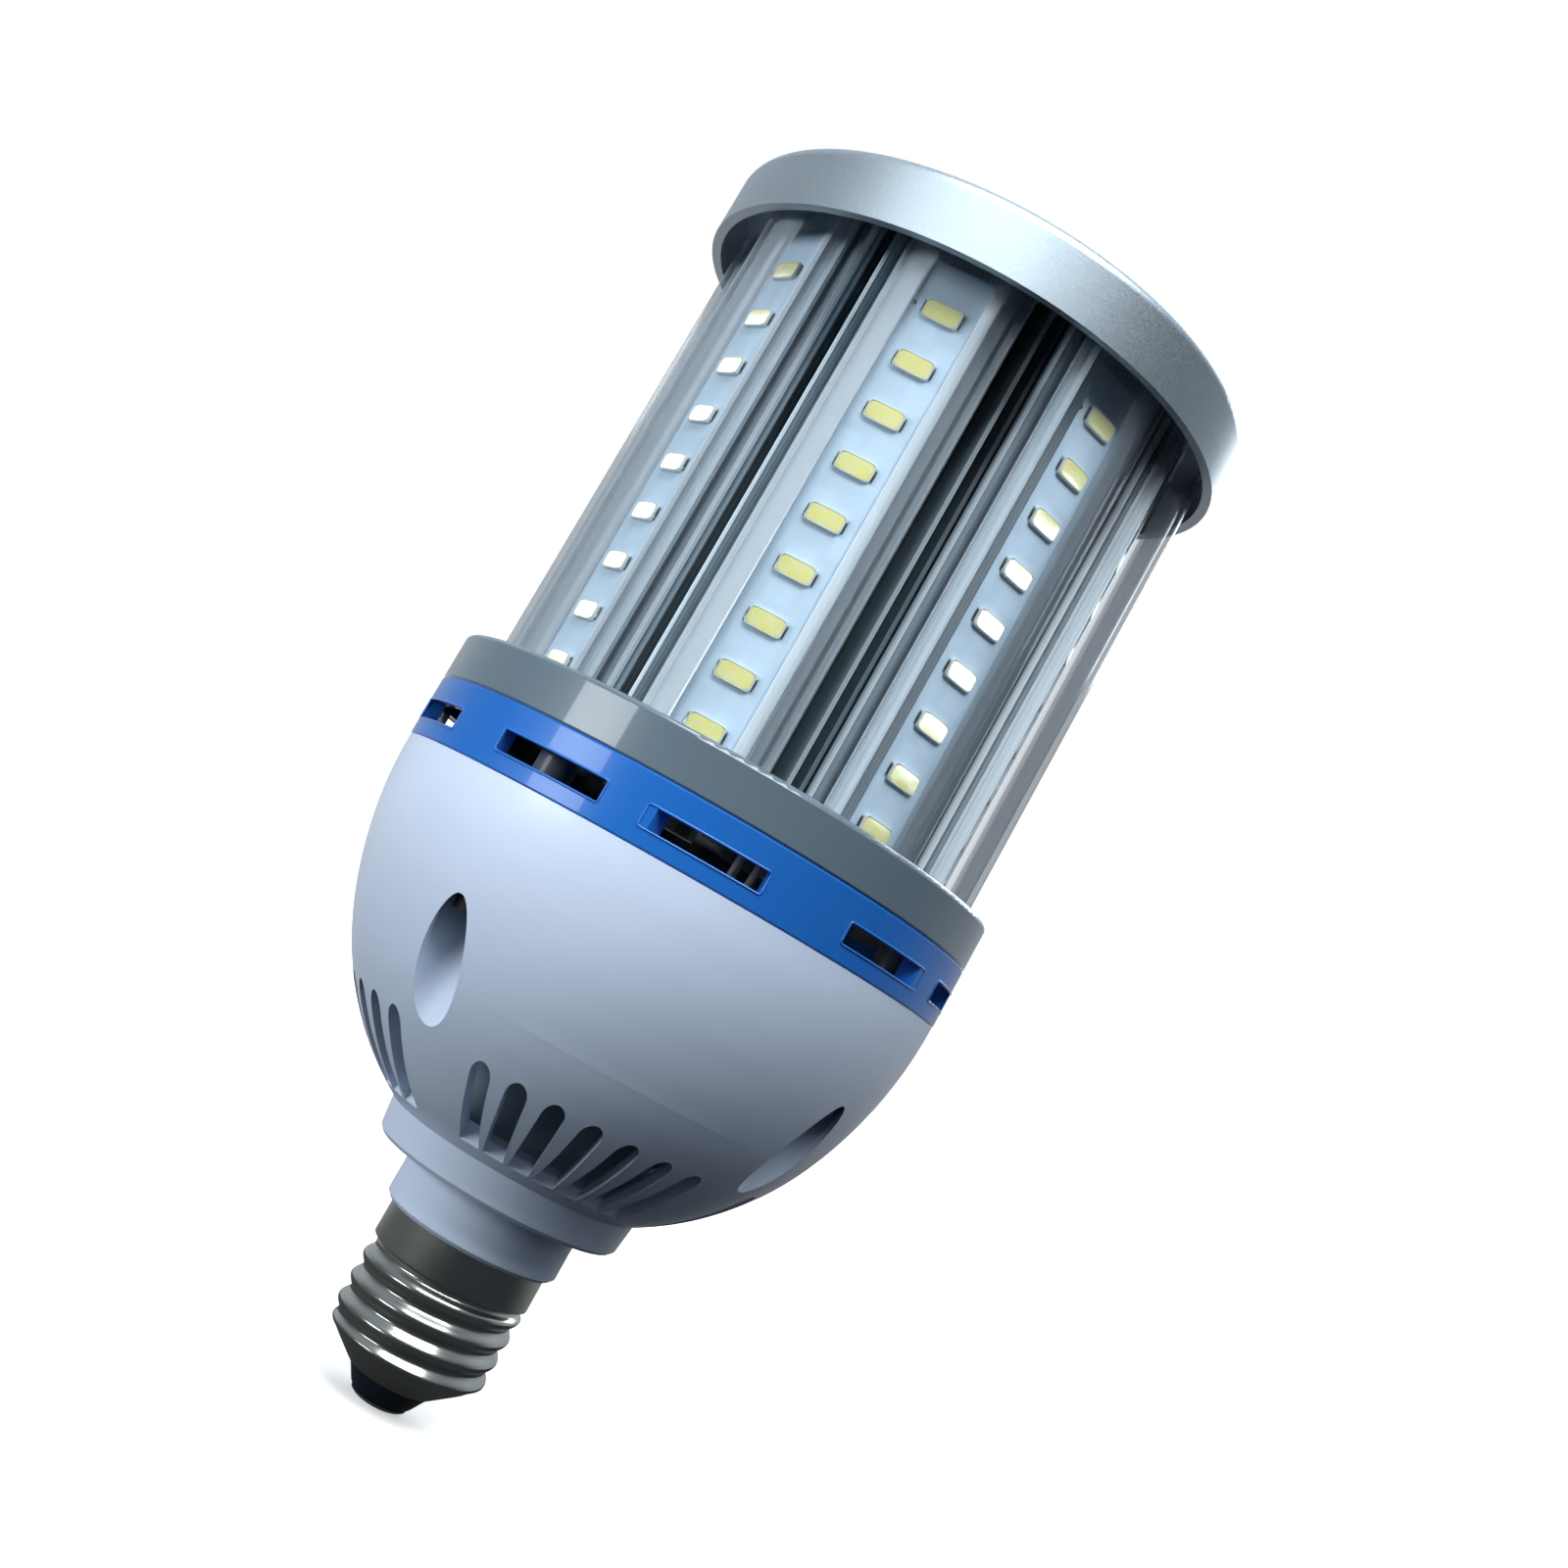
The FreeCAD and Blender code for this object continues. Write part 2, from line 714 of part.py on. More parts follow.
def arm_outline():
    """One arm: web, keel, ribbed flank, cover groove and board track."""
    groove_top = D.seat_height - D.groove_top
    groove_low = groove_top - D.groove_width
    flange_low = groove_low - D.flange_thickness
    rib_top = flange_low - D.rib_gap
    rib_low = rib_top - D.rib_thickness
    keel_low = rib_low - D.keel_depth
    lip_in = D.board_half + D.board_play
    lip_out = lip_in + D.board_lip_wall
    board_top = D.seat_height + D.board_thickness + D.board_play
    lip_top = board_top + D.board_lip_height
    grip = D.board_half - D.board_lip_grip
    foot = D.hub_radius - D.web_half
    right = [
        (D.web_half, foot), (D.web_half, keel_low - D.keel_depth * 2), (D.keel_half, rib_low - D.rib_gap / 2),
        (D.keel_half, rib_low), (D.rib_half, rib_low), (D.rib_half, rib_top),
        (D.keel_half, rib_top), (D.keel_half, flange_low), (D.flange_half, flange_low),
        (D.flange_half, groove_low), (D.groove_half, groove_low), (D.groove_half, groove_top),
        (D.seat_half, groove_top), (D.seat_half, D.seat_height), (lip_out, D.seat_height),
        (lip_out, lip_top), (grip, lip_top), (grip, board_top), (lip_in, board_top),
        (lip_in, D.seat_height),
    ]
    left = [(-size(x), y) for x, y in reversed(right)]
    return [(x, -size(y)) for x, y in right + left]


def make_heat_sink():
    body = new_body("heat_sink")
    hub = new_sketch(body, "XY_Plane", FLOOR_TOP)
    draw_circle(hub, (0, 0), D.hub_radius)
    pad(body, hub, D.sink_length)
    arm = new_sketch(body, "XY_Plane", FLOOR_TOP)
    draw_loop(arm, arm_outline())
    arm_pad = pad(body, arm, D.sink_length)
    repeat_round(body, [arm_pad], COUNT)
    fins = new_sketch(body, "XY_Plane", FLOOR_TOP)
    middle = STEP_ANGLE / 2
    foot = D.hub_radius - D.web_half
    for shift, reach in ((size(0), D.middle_fin_radius), (D.side_fin_offset, D.side_fin_radius),
                         (-D.side_fin_offset, D.side_fin_radius)):
        draw_loop(fins, radial_rectangle(middle, foot, reach, D.fin_half, shift))
    fin_pad = pad(body, fins, D.sink_length)
    repeat_round(body, [fin_pad], COUNT)
    ports = new_sketch(body, "XY_Plane", FLOOR_TOP)
    for angle in PORT_ANGLES:
        draw_circle(ports, polar(D.port_circle_radius, angle), D.port_wall_radius)
    pad(body, ports, D.sink_length)
    bores = new_sketch(body, "XY_Plane", FLOOR_TOP)
    draw_circle(bores, (0, 0), D.hub_bore_radius)
    for angle in PORT_ANGLES:
        draw_circle(bores, polar(D.port_circle_radius, angle), D.screw_radius + D.port_play)
    cut(body, bores, D.sink_length)
    return body


# Light strips. Each is drawn facing -Y and turned to its place.

def make_led_board(number):
    body = new_body("led_board_%d" % number)
    sketch = new_sketch(body, "XY_Plane", FLOOR_TOP + D.board_base)
    low, high = -D.seat_height, -(D.seat_height + D.board_thickness)
    half = D.board_half
    draw_loop(sketch, [(-half, high), (half, high), (half, low), (-half, low)])
    pad(body, sketch, D.board_length)
    turn(body, STEP_ANGLE * (number - 1))
    return body


def package_outline(body, lift, half_width, half_length):
    """Top rectangle of a row, on a plane that faces -Y."""
    sketch = new_sketch(body, "XZ_Plane", lift)
    middle = FLOOR_TOP + D.board_base + D.board_length - D.package_end
    draw_loop(sketch, [
        (-half_width, middle - half_length), (half_width, middle - half_length),
        (half_width, middle + half_length), (-half_width, middle + half_length),
    ])
    return sketch


def repeat_down(body, sketch, originals):
    """The rest of the row, one package pitch below the other."""
    pattern = body.newObject("PartDesign::LinearPattern", body.Name + "_row")
    pattern.Originals = originals
    pattern.Direction = (sketch, ["V_Axis"])
    pattern.Reversed = True
    pattern.setExpression("Length", "dims.package_pitch * (dims.package_count - 1)")
    pattern.setExpression("Occurrences", "dims.package_count")
    body.Tip = pattern
    return pattern


def make_led_packages(number):
    """Package bodies, each with a shallow tray for the gel."""
    body = new_body("led_packages_%d" % number)
    face = D.seat_height + D.board_thickness
    half = D.package_length / 2
    outline = package_outline(body, face, D.package_half_width, half)
    block = pad(body, outline, D.package_height)
    tray_outline = package_outline(body, face + D.package_height,
                                   D.package_half_width - D.package_rim, half - D.package_rim)
    tray = cut(body, tray_outline, D.gel_depth, backwards=False)
    repeat_down(body, outline, [block, tray])
    turn(body, STEP_ANGLE * (number - 1))
    return body


def make_led_gel(number):
    body = new_body("led_gel_%d" % number)
    floor = D.seat_height + D.board_thickness + D.package_height - D.gel_depth
    outline = package_outline(body, floor, D.package_half_width - D.package_rim,
                              D.package_length / 2 - D.package_rim)
    fill = pad(body, outline, D.gel_depth)
    repeat_down(body, outline, [fill])
    turn(body, STEP_ANGLE * (number - 1))
    return body


def make_strip_cover(number):
    """Half-round clear cover, hooked into the grooves of its arm."""
    body = new_body("strip_cover_%d" % number)
    sketch = new_sketch(body, "XY_Plane", FLOOR_TOP + D.cover_base)
    foot = D.seat_height - D.groove_top - D.groove_width + D.cover_play
    hook = foot + D.hook_thickness
    inner = D.cover_radius - D.cover_wall
    drop_foot = foot - D.cover_centre_height
    drop_hook = hook - D.cover_centre_height
    outer_x = root(D.cover_radius * D.cover_radius - drop_foot * drop_foot)
    inner_x = root(inner * inner - drop_hook * drop_hook)
    draw_loop(sketch, [
        (outer_x, -foot), (D.hook_reach, -foot), (D.hook_reach, -hook), (inner_x, -hook),
        (-inner_x, -hook), (-D.hook_reach, -hook), (-D.hook_reach, -foot), (-outer_x, -foot),
    ], {3: (inner, -1), 7: (D.cover_radius, 1)})
    pad(body, sketch, D.cover_length)
    turn(body, STEP_ANGLE * (number - 1))
    return body


# Cap.

def make_top_cap():
    body = new_body("top_cap")
    rim = CAP_TOP - D.cap_height
    inside = D.cap_radius - D.cap_wall
    revolve(body, [
        (0, SINK_TOP), (inside, SINK_TOP), (inside, rim), (D.cap_radius, rim),
        (D.cap_radius, CAP_TOP - D.cap_round), (D.cap_radius - D.cap_round, CAP_TOP), (0, CAP_TOP),
    ], {4: (D.cap_round, 1)})
    holes = new_sketch(body, "XY_Plane", SINK_TOP)
    for angle in PORT_ANGLES:
        draw_circle(holes, polar(D.port_circle_radius, angle), D.screw_radius + D.screw_clearance)
    cut(body, holes, D.cap_plate)
    return body


# Screws.

def make_screw_set(label, angles, circle, seat, length, upward):
    """Pan-head screws; the head lies under the seat when the screw points up."""
    body = new_body(label)
    shank = new_sketch(body, "XY_Plane", seat)
    for angle in angles:
        draw_circle(shank, polar(circle, angle), D.screw_radius)
    pad(body, shank, length, backwards=not upward)
    head = new_sketch(body, "XY_Plane", seat)
    for angle in angles:
        draw_circle(head, polar(circle, angle), D.screw_head_radius)
    pad(body, head, D.screw_head_height, backwards=upward)
    crown = seat - D.screw_head_height if upward else seat + D.screw_head_height
    socket = new_sketch(body, "XY_Plane", crown)
    for angle in angles:
        x, y = polar(circle, angle)
        reach, slim = D.screw_socket_radius, D.screw_socket_half
        draw_loop(socket, [
            (x - reach, y - slim), (x - slim, y - slim), (x - slim, y - reach), (x + slim, y - reach),
            (x + slim, y - slim), (x + reach, y - slim), (x + reach, y + slim), (x + slim, y + slim),
            (x + slim, y + reach), (x - slim, y + reach), (x - slim, y + slim), (x - reach, y + slim),
        ])
    cut(body, socket, D.screw_socket_depth, backwards=upward)
    return body


# Driver circuit board and its parts.

def make_driver_board():
    body = new_body("driver_board")
    sketch = new_sketch(body, "XY_Plane", DRIVER_BASE)
    draw_circle(sketch, (0, 0), D.driver_radius)
    pad(body, sketch, D.driver_thickness)
    holes = new_sketch(body, "XY_Plane", DRIVER_BASE)
    draw_circle(holes, (0, 0), D.driver_bore_radius)
    cut(body, holes, D.driver_thickness)
    return body


def rectangle(centre_x, centre_y, width, depth):
    x, y = size(centre_x), size(centre_y)
    w, d = size(width) / 2, size(depth) / 2
    return [(x - w, y - d), (x + w, y - d), (x + w, y + d), (x - w, y + d)]


TRANSFORMER_Y = -(D.driver_bore_radius + D.transformer_depth / 2 + D.transformer_gap)


def make_transformer_core():
    """Ferrite frame of two side legs, a middle leg, and top and bottom yokes."""
    body = new_body("transformer_core")
    width, height, leg = D.transformer_width, D.transformer_height, D.core_leg
    sketch = new_sketch(body, "XZ_Plane", -TRANSFORMER_Y - D.core_thickness / 2)
    half = width / 2
    low, high = DRIVER_TOP, DRIVER_TOP + height
    draw_loop(sketch, [(-half, low), (half, low), (half, high), (-half, high)])
    for side in (-1, 1):
        near = leg / 2
        far = half - leg / 2
        xs = (near, far) if side > 0 else (-far, -near)
        draw_loop(sketch, [(xs[0], low + leg / 2), (xs[1], low + leg / 2),
                           (xs[1], high - leg / 2), (xs[0], high - leg / 2)])
    pad(body, sketch, D.core_thickness)
    return body


def make_transformer_coil():
    """Taped winding round the middle leg."""
    body = new_body("transformer_coil")
    play = D.coil_play
    low = DRIVER_TOP + D.core_leg / 2 + play
    sketch = new_sketch(body, "XY_Plane", low)
    outer = rectangle(0, TRANSFORMER_Y, D.transformer_width - D.core_leg - play * 2, D.transformer_depth)
    inner = rectangle(0, TRANSFORMER_Y, D.core_leg + play * 2, D.core_thickness + play * 2)
    draw_loop(sketch, outer)
    draw_loop(sketch, inner)
    pad(body, sketch, D.transformer_height - D.core_leg - play * 2)
    return body


def make_can(label, spots, radius, height):
    body = new_body(label)
    sketch = new_sketch(body, "XY_Plane", DRIVER_TOP)
    for spot in spots:
        draw_circle(sketch, spot, radius)
    pad(body, sketch, height)
    return body


def make_block(label, centre, width, depth, height):
    body = new_body(label)
    sketch = new_sketch(body, "XY_Plane", DRIVER_TOP)
    draw_loop(sketch, rectangle(centre[0], centre[1], width, depth))
    pad(body, sketch, height)
    return body


def make_choke():
    body = new_body("choke")
    flange, height = D.choke_flange, D.choke_height
    for low, radius, length in (
        (DRIVER_TOP, D.choke_radius, flange),
        (DRIVER_TOP + flange, D.choke_neck_radius, height - flange * 2),
        (DRIVER_TOP + height - flange, D.choke_radius, flange),
    ):
        sketch = new_sketch(body, "XY_Plane", low)
        draw_circle(sketch, (D.choke_x, D.choke_y), radius)
        pad(body, sketch, length)
    return body


def make_power_switch():
    """Moulded block with a metal tab behind it."""
    body = new_body("power_switch")
    sketch = new_sketch(body, "XY_Plane", DRIVER_TOP)
    draw_loop(sketch, rectangle(D.switch_x, D.switch_y, D.switch_width, D.switch_depth))
    pad(body, sketch, D.switch_height)
    tab = new_sketch(body, "XY_Plane", DRIVER_TOP)
    back = D.switch_y + D.switch_depth / 2 - D.tab_thickness / 2
    draw_loop(tab, rectangle(D.switch_x, back, D.switch_width, D.tab_thickness))
    pad(body, tab, D.tab_height)
    return body


def make_fuse_resistor():
    body = new_body("fuse_resistor")
    sketch = new_sketch(body, "XZ_Plane", -D.fuse_y)
    draw_circle(sketch, (D.fuse_x, DRIVER_TOP + D.fuse_radius), D.fuse_radius)
    pad(body, sketch, D.fuse_length, backwards=True)
    return body


def make_driver_parts():
    outputs = [(D.first_output_x, D.first_output_y), (D.second_output_x, D.second_output_y)]
    return [
        make_driver_board(),
        make_transformer_core(),
        make_transformer_coil(),
        make_can("bulk_capacitor", [(D.bulk_x, D.bulk_y)], D.bulk_radius, D.bulk_height),
        make_can("output_capacitors", outputs, D.output_radius, D.output_height),
        make_choke(),
        make_block("film_capacitor", (D.film_x, D.film_y), D.film_width, D.film_depth, D.film_height),
        make_block("bridge_rectifier", (D.bridge_x, D.bridge_y), D.bridge_width, D.bridge_depth,
                   D.bridge_height),
        make_power_switch(),
        make_fuse_resistor(),
    ]


# Wires: straight runs joined by round bends.

def wire_solid(points, radius, bend):
    vectors = [FreeCAD.Vector(*[size(value).value for value in point]) for point in points]
    edges = []
    start = vectors[0]
    for before, corner, after in zip(vectors, vectors[1:], vectors[2:]):
        one = (before - corner).normalize()
        two = (after - corner).normalize()
        angle = one.getAngle(two)
        trim = bend / math.tan(angle / 2)
        first = corner + one * trim
        last = corner + two * trim
        middle_line = (one + two).normalize()
        centre = corner + middle_line * (bend / math.sin(angle / 2))
        middle = centre - middle_line * bend
        edges.append(Part.LineSegment(start, first).toShape())
        edges.append(Part.Arc(first, middle, last).toShape())
        start = last
    edges.append(Part.LineSegment(start, vectors[-1]).toShape())
    path = Part.Wire(edges)
    heading = (vectors[1] - vectors[0]).normalize()
    section = Part.Wire([Part.makeCircle(radius, vectors[0], heading)])
    return path.makePipeShell([section], True, False)


def add_feature(label, shapes):
    feature = doc.addObject("Part::Feature", label)
    feature.Label = label
    feature.Shape = shapes[0] if len(shapes) == 1 else Part.makeCompound(shapes)
    feature.Placement = FreeCAD.Placement()
    return feature


def make_contact_lead():
    high = DRIVER_BASE
    rivet = D.contact_height + D.rivet_length
    x = D.driver_bore_radius + D.wire_radius * 2
    bend = D.wire_bend.value
    points = [(x, 0, high), (x, 0, RING_TOP + D.wire_bend), (0, 0, RING_LOW - D.wire_bend), (0, 0, rivet)]
    return add_feature("contact_lead", [wire_solid(points, D.wire_radius.value, bend)])


def make_shell_lead():
    high = DRIVER_BASE
    x = D.driver_bore_radius + D.wire_radius * 2
    out = D.thread_root_radius - D.shell_wall - D.wire_radius
    low = NECK_END - D.stub_length - D.wire_radius * 3
    bend = D.tight_bend.value
    points = [
        (-x, 0, high), (-x, 0, RING_TOP), (-(D.wire_bore_radius - D.wire_radius * 2), 0, RING_LOW),
        (-(D.wire_bore_radius - D.wire_radius * 2), 0, low), (-out, 0, low - D.wire_radius * 3),
    ]
    return add_feature("shell_lead", [wire_solid(points, D.wire_radius.value, bend)])


def strip_point(strip_angle, across, height, level):
    """Point in space from a strip's own directions."""
    x = sin(strip_angle) * height + cos(strip_angle) * across
    y = -(cos(strip_angle) * height) + sin(strip_angle) * across
    return (x, y, level)


def lead_end(strip_angle, side, level, radius):
    """Way of a wire from beside a strip, over its board track, to its board."""
    pad_across = side * (D.board_half - D.board_pad_inset)
    lip_top = D.seat_height + D.board_thickness + D.board_play + D.board_lip_height
    over = lip_top + radius * 2 + D.lead_rise
    face = D.seat_height + D.board_thickness + radius + D.board_play
    return [
        strip_point(strip_angle, side * D.seat_half, over, level),
        strip_point(strip_angle, pad_across, face, level),
    ]


def make_supply_leads():
    """Two leads from the driver board through the floor to the first two strips."""
    shapes = []
    radius = D.wire_radius
    level = FLOOR_TOP + D.cover_base - radius * 2
    for side, strip in ((-1, size(0)), (1, STEP_ANGLE)):
        angle = STEP_ANGLE / 2 + side * D.lead_hole_radius
        spot = polar(D.lead_hole_circle_radius, angle)
        start = polar(D.driver_radius - radius * 3, angle)
        points = [
            (start[0], start[1], DRIVER_TOP),
            (start[0], start[1], DRIVER_TOP + D.wire_bend),
            (spot[0], spot[1], VENT_RING_TOP - D.wire_bend),
            (spot[0], spot[1], level),
        ] + lead_end(strip, -side, level, radius)
        shapes.append(wire_solid(points, radius.value, D.tight_bend.value))
    return add_feature("supply_leads", shapes)


def make_strip_links():
    """Links between neighbouring boards, on the collar's floor."""
    shapes = []
    radius = D.link_radius
    level = FLOOR_TOP + D.cover_base - radius * 2
    for item in range(1, COUNT):
        one = STEP_ANGLE * item
        two = STEP_ANGLE * (item + 1)
        inside = D.middle_fin_radius + radius * 3
        turning = polar(inside, one + STEP_ANGLE / 2)
        points = list(reversed(lead_end(one, 1, level, radius)))
        points += [(turning[0], turning[1], level)]
        points += lead_end(two, -1, level, radius)
        shapes.append(wire_solid(points, radius.value, D.tight_bend.value))
    return add_feature("strip_links", shapes)


def make_strips():
    pieces = []
    for number in range(1, COUNT + 1):
        pieces.append(make_led_board(number))
        pieces.append(make_led_packages(number))
        pieces.append(make_led_gel(number))
        pieces.append(make_strip_cover(number))
    return pieces


def make_all():
    pieces = [
        make_centre_contact(),
        make_contact_insulator(),
        make_screw_shell(),
        make_driver_housing(),
        make_vent_guard(),
        make_vent_ring(),
        make_collar_ring(),
        make_heat_sink(),
        make_top_cap(),
        make_screw_set("housing_screws", PILLAR_ANGLES, D.pillar_circle_radius, POCKET_ROOF,
                       VENT_RING_TOP - POCKET_ROOF + D.housing_screw_bite, True),
        make_screw_set("sink_screws", PORT_ANGLES, D.port_circle_radius, VENT_RING_TOP,
                       D.collar_floor + D.sink_screw_bite, True),
        make_screw_set("cap_screws", PORT_ANGLES, D.port_circle_radius, CAP_TOP,
                       D.cap_plate + D.cap_screw_bite, False),
    ]
    pieces += make_strips()
    pieces += make_driver_parts()
    pieces += [make_contact_lead(), make_shell_lead(), make_supply_leads(), make_strip_links()]
    return pieces


def check_document():
    for item in doc.Objects:
        if "Invalid" in item.State or "Error" in item.State:
            raise RuntimeError("%s could not be built: %s" % (item.Label, item.State))


def export(pieces):
    os.makedirs("parts", exist_ok=True)
    for piece in pieces:
        shape = piece.Shape
        if shape.isNull() or not shape.isValid() or not shape.Solids:
            raise RuntimeError("%s has no valid solid" % piece.Label)
    for piece in pieces:
        piece.Shape.exportStep("parts/%s.step" % piece.Label)
        print("%-20s %3d solids %12.2f mm3" % (piece.Label, len(piece.Shape.Solids), piece.Shape.Volume))


pieces = make_all()
doc.recompute()
check_document()
export(pieces)
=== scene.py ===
"""Looks of a lamp with a screw base and eight light strips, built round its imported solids.

The row frame is in metres: +Z runs from the screw base to the cap, the origin is the lowest
point of the centre contact, and the first strip faces -Y. Directions round the axis are
angles in degrees from -Y towards +X.
"""

from __future__ import annotations

import json
import logging
import math
from dataclasses import dataclass
from enum import Enum
from typing import Any, Sequence

import bpy
import numpy as np
from mathutils import Matrix, Vector

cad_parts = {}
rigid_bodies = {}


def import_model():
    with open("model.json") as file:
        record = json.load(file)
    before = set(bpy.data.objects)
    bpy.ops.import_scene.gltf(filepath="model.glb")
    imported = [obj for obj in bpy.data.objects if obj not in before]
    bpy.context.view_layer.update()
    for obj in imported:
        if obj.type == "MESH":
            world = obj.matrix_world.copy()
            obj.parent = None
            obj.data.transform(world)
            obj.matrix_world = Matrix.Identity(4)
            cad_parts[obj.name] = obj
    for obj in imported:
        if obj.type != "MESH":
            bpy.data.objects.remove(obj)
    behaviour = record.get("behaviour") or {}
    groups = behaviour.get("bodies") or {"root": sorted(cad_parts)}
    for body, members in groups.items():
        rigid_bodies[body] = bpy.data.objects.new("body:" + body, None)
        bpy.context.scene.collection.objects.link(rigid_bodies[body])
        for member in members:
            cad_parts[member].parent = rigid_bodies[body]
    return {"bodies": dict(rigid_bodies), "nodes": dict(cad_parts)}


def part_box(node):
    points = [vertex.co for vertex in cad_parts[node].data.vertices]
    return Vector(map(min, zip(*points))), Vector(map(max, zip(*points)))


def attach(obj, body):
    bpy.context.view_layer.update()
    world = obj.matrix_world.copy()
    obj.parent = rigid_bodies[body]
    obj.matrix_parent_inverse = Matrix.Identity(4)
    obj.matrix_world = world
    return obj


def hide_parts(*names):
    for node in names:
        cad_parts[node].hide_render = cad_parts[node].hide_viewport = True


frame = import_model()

LOG = logging.getLogger("strip_lamp")
MM = 0.001
STRIPS = range(1, 9)
STRIP_STEP = 45.0
Colour = tuple[float, float, float]
Fade = tuple[float, float, float, float]


class Slot(Enum):
    """Material slots of the record."""

    ALUMINIUM = "aluminium"
    CAP = "cap_metal"
    GREY = "grey_plastic"
    BLUE = "blue_plastic"
    WHITE = "white_plastic"
    NICKEL = "nickel"
    INSULATOR = "insulator"
    BOARD = "strip_board"
    PACKAGE = "package"
    PHOSPHOR = "phosphor"
    COVER = "clear_cover"
    SCREW = "screw_steel"
    DRIVER_BOARD = "driver_board"
    FERRITE = "ferrite"
    TAPE = "tape"
    SLEEVE = "can_sleeve"
    FILM = "film_case"
    BLACK = "black_moulding"
    WINDING = "copper_winding"
    WIRE = "wire_sleeve"
    RESISTOR = "resistor_body"


class Use(Enum):
    """What a lamp does: light surfaces, show in their shine, or both."""

    BOTH = (True, True)
    LIGHT = (True, False)
    SHINE = (False, True)


class Ray(Enum):
    """Kinds of ray that a light path tells apart."""

    CAMERA = "Is Camera Ray"
    GLOSSY = "Is Glossy Ray"
    TRANSMITTED = "Is Transmission Ray"


class Socket:
    """An output of a shader node, with the operators of plain arithmetic."""

    def __init__(self, tree: ShaderTree, output: bpy.types.NodeSocket) -> None:
        """Wraps one output of a tree's node."""
        self.tree = tree
        self.output = output

    def _maths(self, operation: str, first: Any, second: Any) -> Socket:
        """Adds one Math node on two values."""
        return self.tree.node("ShaderNodeMath", {"operation": operation}, {0: first, 1: second})

    def __add__(self, other: Any) -> Socket:
        """Sum."""
        return self._maths("ADD", self, other)

    def __sub__(self, other: Any) -> Socket:
        """Difference."""
        return self._maths("SUBTRACT", self, other)

    def __rsub__(self, other: Any) -> Socket:
        """Difference with the socket on the right."""
        return self._maths("SUBTRACT", other, self)

    def __mul__(self, other: Any) -> Socket:
        """Product."""
        return self._maths("MULTIPLY", self, other)

    def __rmul__(self, other: Any) -> Socket:
        """Product with the socket on the right."""
        return self._maths("MULTIPLY", other, self)

    def __truediv__(self, other: Any) -> Socket:
        """Quotient."""
        return self._maths("DIVIDE", self, other)

    def __pow__(self, other: Any) -> Socket:
        """Power."""
        return self._maths("POWER", self, other)

    def step(self, low: float, high: float, start: float = 0.0, end: float = 1.0) -> Socket:
        """Smooth change from start to end as the value goes from low to high.

        Args:
            low: value where the change starts.
            high: value where it ends.
            start: result at and below low.
            end: result at and above high.

        Returns:
            The mapped value.
        """
        settings = {"interpolation_type": "SMOOTHSTEP"}
        values = {"Value": self, "From Min": low, "From Max": high, "To Min": start, "To Max": end}
        return self.tree.node("ShaderNodeMapRange", settings, values)


